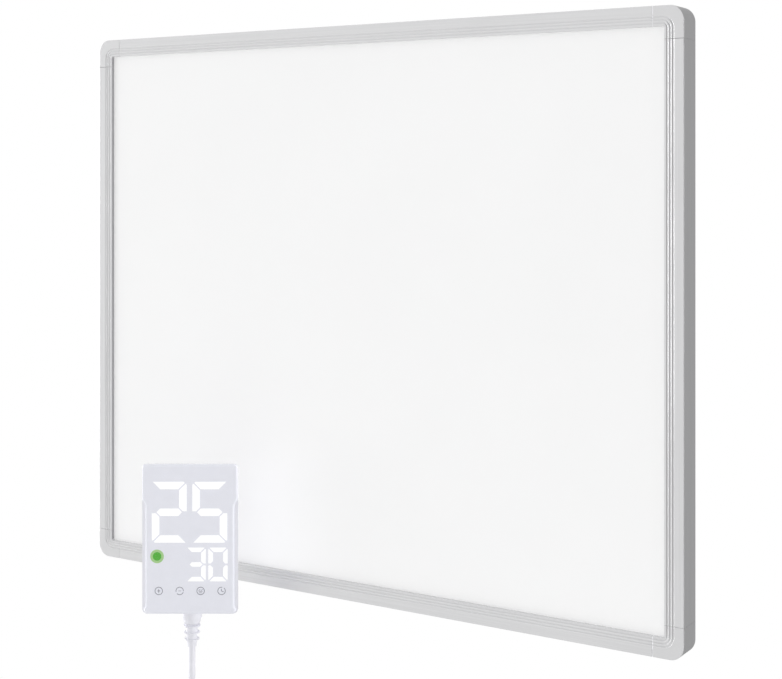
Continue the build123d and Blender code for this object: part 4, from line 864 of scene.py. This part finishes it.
class HEATER_OT_stage(Operator):
    """Set the pale floor, the white surroundings, the grey cards and the soft lights"""
    bl_idname = "heater.stage"
    bl_label = "Set Stage"

    def execute(self, context):
        settings = context.scene.heater_studio
        world = bpy.data.worlds.new("Studio")
        context.scene.world = world
        world.use_nodes = True
        tree = world.node_tree
        soft = tree.nodes["Background"]
        soft.inputs["Color"].default_value = (1, 1, 1, 1)
        soft.inputs["Strength"].default_value = settings.ambient
        seen = add_node(tree, "ShaderNodeBackground",
                        {"Color": (1, 1, 1, 1), "Strength": settings.background})
        self.show(tree, soft.outputs[0], seen.outputs[0],
                  tree.nodes["World Output"].inputs["Surface"])
        self.add_floor(settings.background)
        self.add_card("side_card", settings.card, (3.6, -2.0, 0), (0, -90, 0), (20, 25))
        self.add_card("back_card", settings.card, (-1.0, 6.0, 0), (90, 0, 0), (9.6, 12))
        self.add_card("low_card", settings.card, (-1.0, 3.1, -1.05), (0, 0, 0), (9.6, 6))
        # Each sun's side and height in degrees, its strength, and how wide it spreads.
        wide, narrow = 40, 20
        front = self.add_sun("Front", 16, 4, settings.front, wide)
        left = self.add_sun("Left", -72, 0, settings.left, wide)
        right = self.add_sun("Right", 118, 20, settings.right, wide)
        glint = self.add_sun("Left Glint", -97, 0, settings.glint, wide)
        edge = self.add_sun("Edge Glint", 85, 0, settings.edge, narrow)
        self.add_sun("Back", -150, 25, settings.back, wide)
        for light in (front, left, right):
            light.visible_glossy = light.data.use_shadow = False
        for light in (glint, edge):
            light.visible_diffuse = light.data.use_shadow = False
        context.scene.view_settings.view_transform = "Standard"
        return {"FINISHED"}

    def show(self, tree, lit, white, end):
        """White where the camera, gloss or glass looks, and as lit for everything else."""
        path = add_node(tree, "ShaderNodeLightPath")
        either = path.outputs["Is Camera Ray"]
        for ray in ("Is Glossy Ray", "Is Transmission Ray"):
            either = add_node(tree, "ShaderNodeMath", {"operation": "MAXIMUM"},
                              {0: either, 1: path.outputs[ray]}).outputs[0]
        mix = add_node(tree, "ShaderNodeMixShader", {}, {0: either, 1: lit, 2: white})
        tree.links.new(mix.outputs[0], end)

    def add_floor(self, white):
        """A pale floor well below the hanging lead, white where the camera sees it."""
        floor = fresh("primitive_plane_add", size=2.8, location=(0, 0, -1.1))
        floor.name = "floor"
        bpy.ops.object.transform_apply(location=True, rotation=True, scale=True)
        material, tree, shader = start_finish("Studio Floor", linear("EAEAEA"), 0.0, 0.9)
        glow = add_node(tree, "ShaderNodeEmission", {"Color": (1, 1, 1, 1), "Strength": white})
        self.show(tree, shader.outputs[0], glow.outputs[0],
                  tree.nodes["Material Output"].inputs["Surface"])
        floor.data.materials.append(material)

    def add_card(self, name, grey, place, turn, size):
        """A large grey card that only gloss sees: it darkens what faces right or down."""
        card = fresh("primitive_plane_add", size=1, location=place,
                     rotation=[radians(angle) for angle in turn])
        card.name = name
        card.scale = (*size, 1)
        bpy.ops.object.transform_apply(location=True, rotation=True, scale=True)
        material, tree, _ = start_finish("Grey Card", linear("8C8C8C"), 0.0, 0.9)
        glow = add_node(tree, "ShaderNodeEmission", {"Color": (1, 1, 1, 1), "Strength": grey})
        tree.links.new(glow.outputs[0], tree.nodes["Material Output"].inputs["Surface"])
        card.data.materials.append(material)
        card.visible_camera = card.visible_diffuse = card.visible_shadow = False

    def add_sun(self, name, side, height, strength, spread):
        """A soft distant light from a side of the panel's front, in degrees to its right."""
        data = bpy.data.lights.new(name, "SUN")
        data.energy, data.angle = strength, radians(spread)
        light = bpy.data.objects.new(name, data)
        bpy.context.scene.collection.objects.link(light)
        away = Vector((sin(radians(side)), -cos(radians(side)), sin(radians(height))))
        light.rotation_euler = away.to_track_quat("Z", "Y").to_euler()
        return light


# ---- Sidebar panel and registration ----

steps = (HEATER_OT_camera, HEATER_OT_coil_tie, HEATER_OT_lead, HEATER_OT_frame, HEATER_OT_panel,
         HEATER_OT_wall_fittings, HEATER_OT_junction_box, HEATER_OT_controller,
         HEATER_OT_touch_marks, HEATER_OT_stage)
groups = {"heater_lead": HeaterLead, "heater_marks": HeaterMarks,
          "heater_colours": HeaterColours, "heater_studio": HeaterStudio}


class HEATER_PT_sidebar(Panel):
    """Every step of the heater, in order"""
    bl_idname = "HEATER_PT_sidebar"
    bl_label = "Panel Heater"
    bl_space_type = "VIEW_3D"
    bl_region_type = "UI"
    bl_category = "Panel Heater"

    def draw(self, context):
        for group in groups:
            settings = getattr(context.scene, group)
            section = self.layout.box()
            for name in settings.__annotations__:
                section.prop(settings, name)
        for step in steps:
            self.layout.operator(step.bl_idname)


def register():
    """Register the settings, the operators and the panel."""
    for group in groups.values():
        bpy.utils.register_class(group)
    for step in steps:
        bpy.utils.register_class(step)
    bpy.utils.register_class(HEATER_PT_sidebar)
    for name, group in groups.items():
        setattr(bpy.types.Scene, name, PointerProperty(type=group))


def unregister():
    """Undo register."""
    for name in groups:
        delattr(bpy.types.Scene, name)
    bpy.utils.unregister_class(HEATER_PT_sidebar)
    for each in reversed(list(groups.values()) + list(steps)):
        bpy.utils.unregister_class(each)


def main():
    """Run every step."""
    register()
    for step in steps:
        area, name = step.bl_idname.split(".")
        getattr(getattr(bpy.ops, area), name)()


if __name__ == "__main__":
    main()
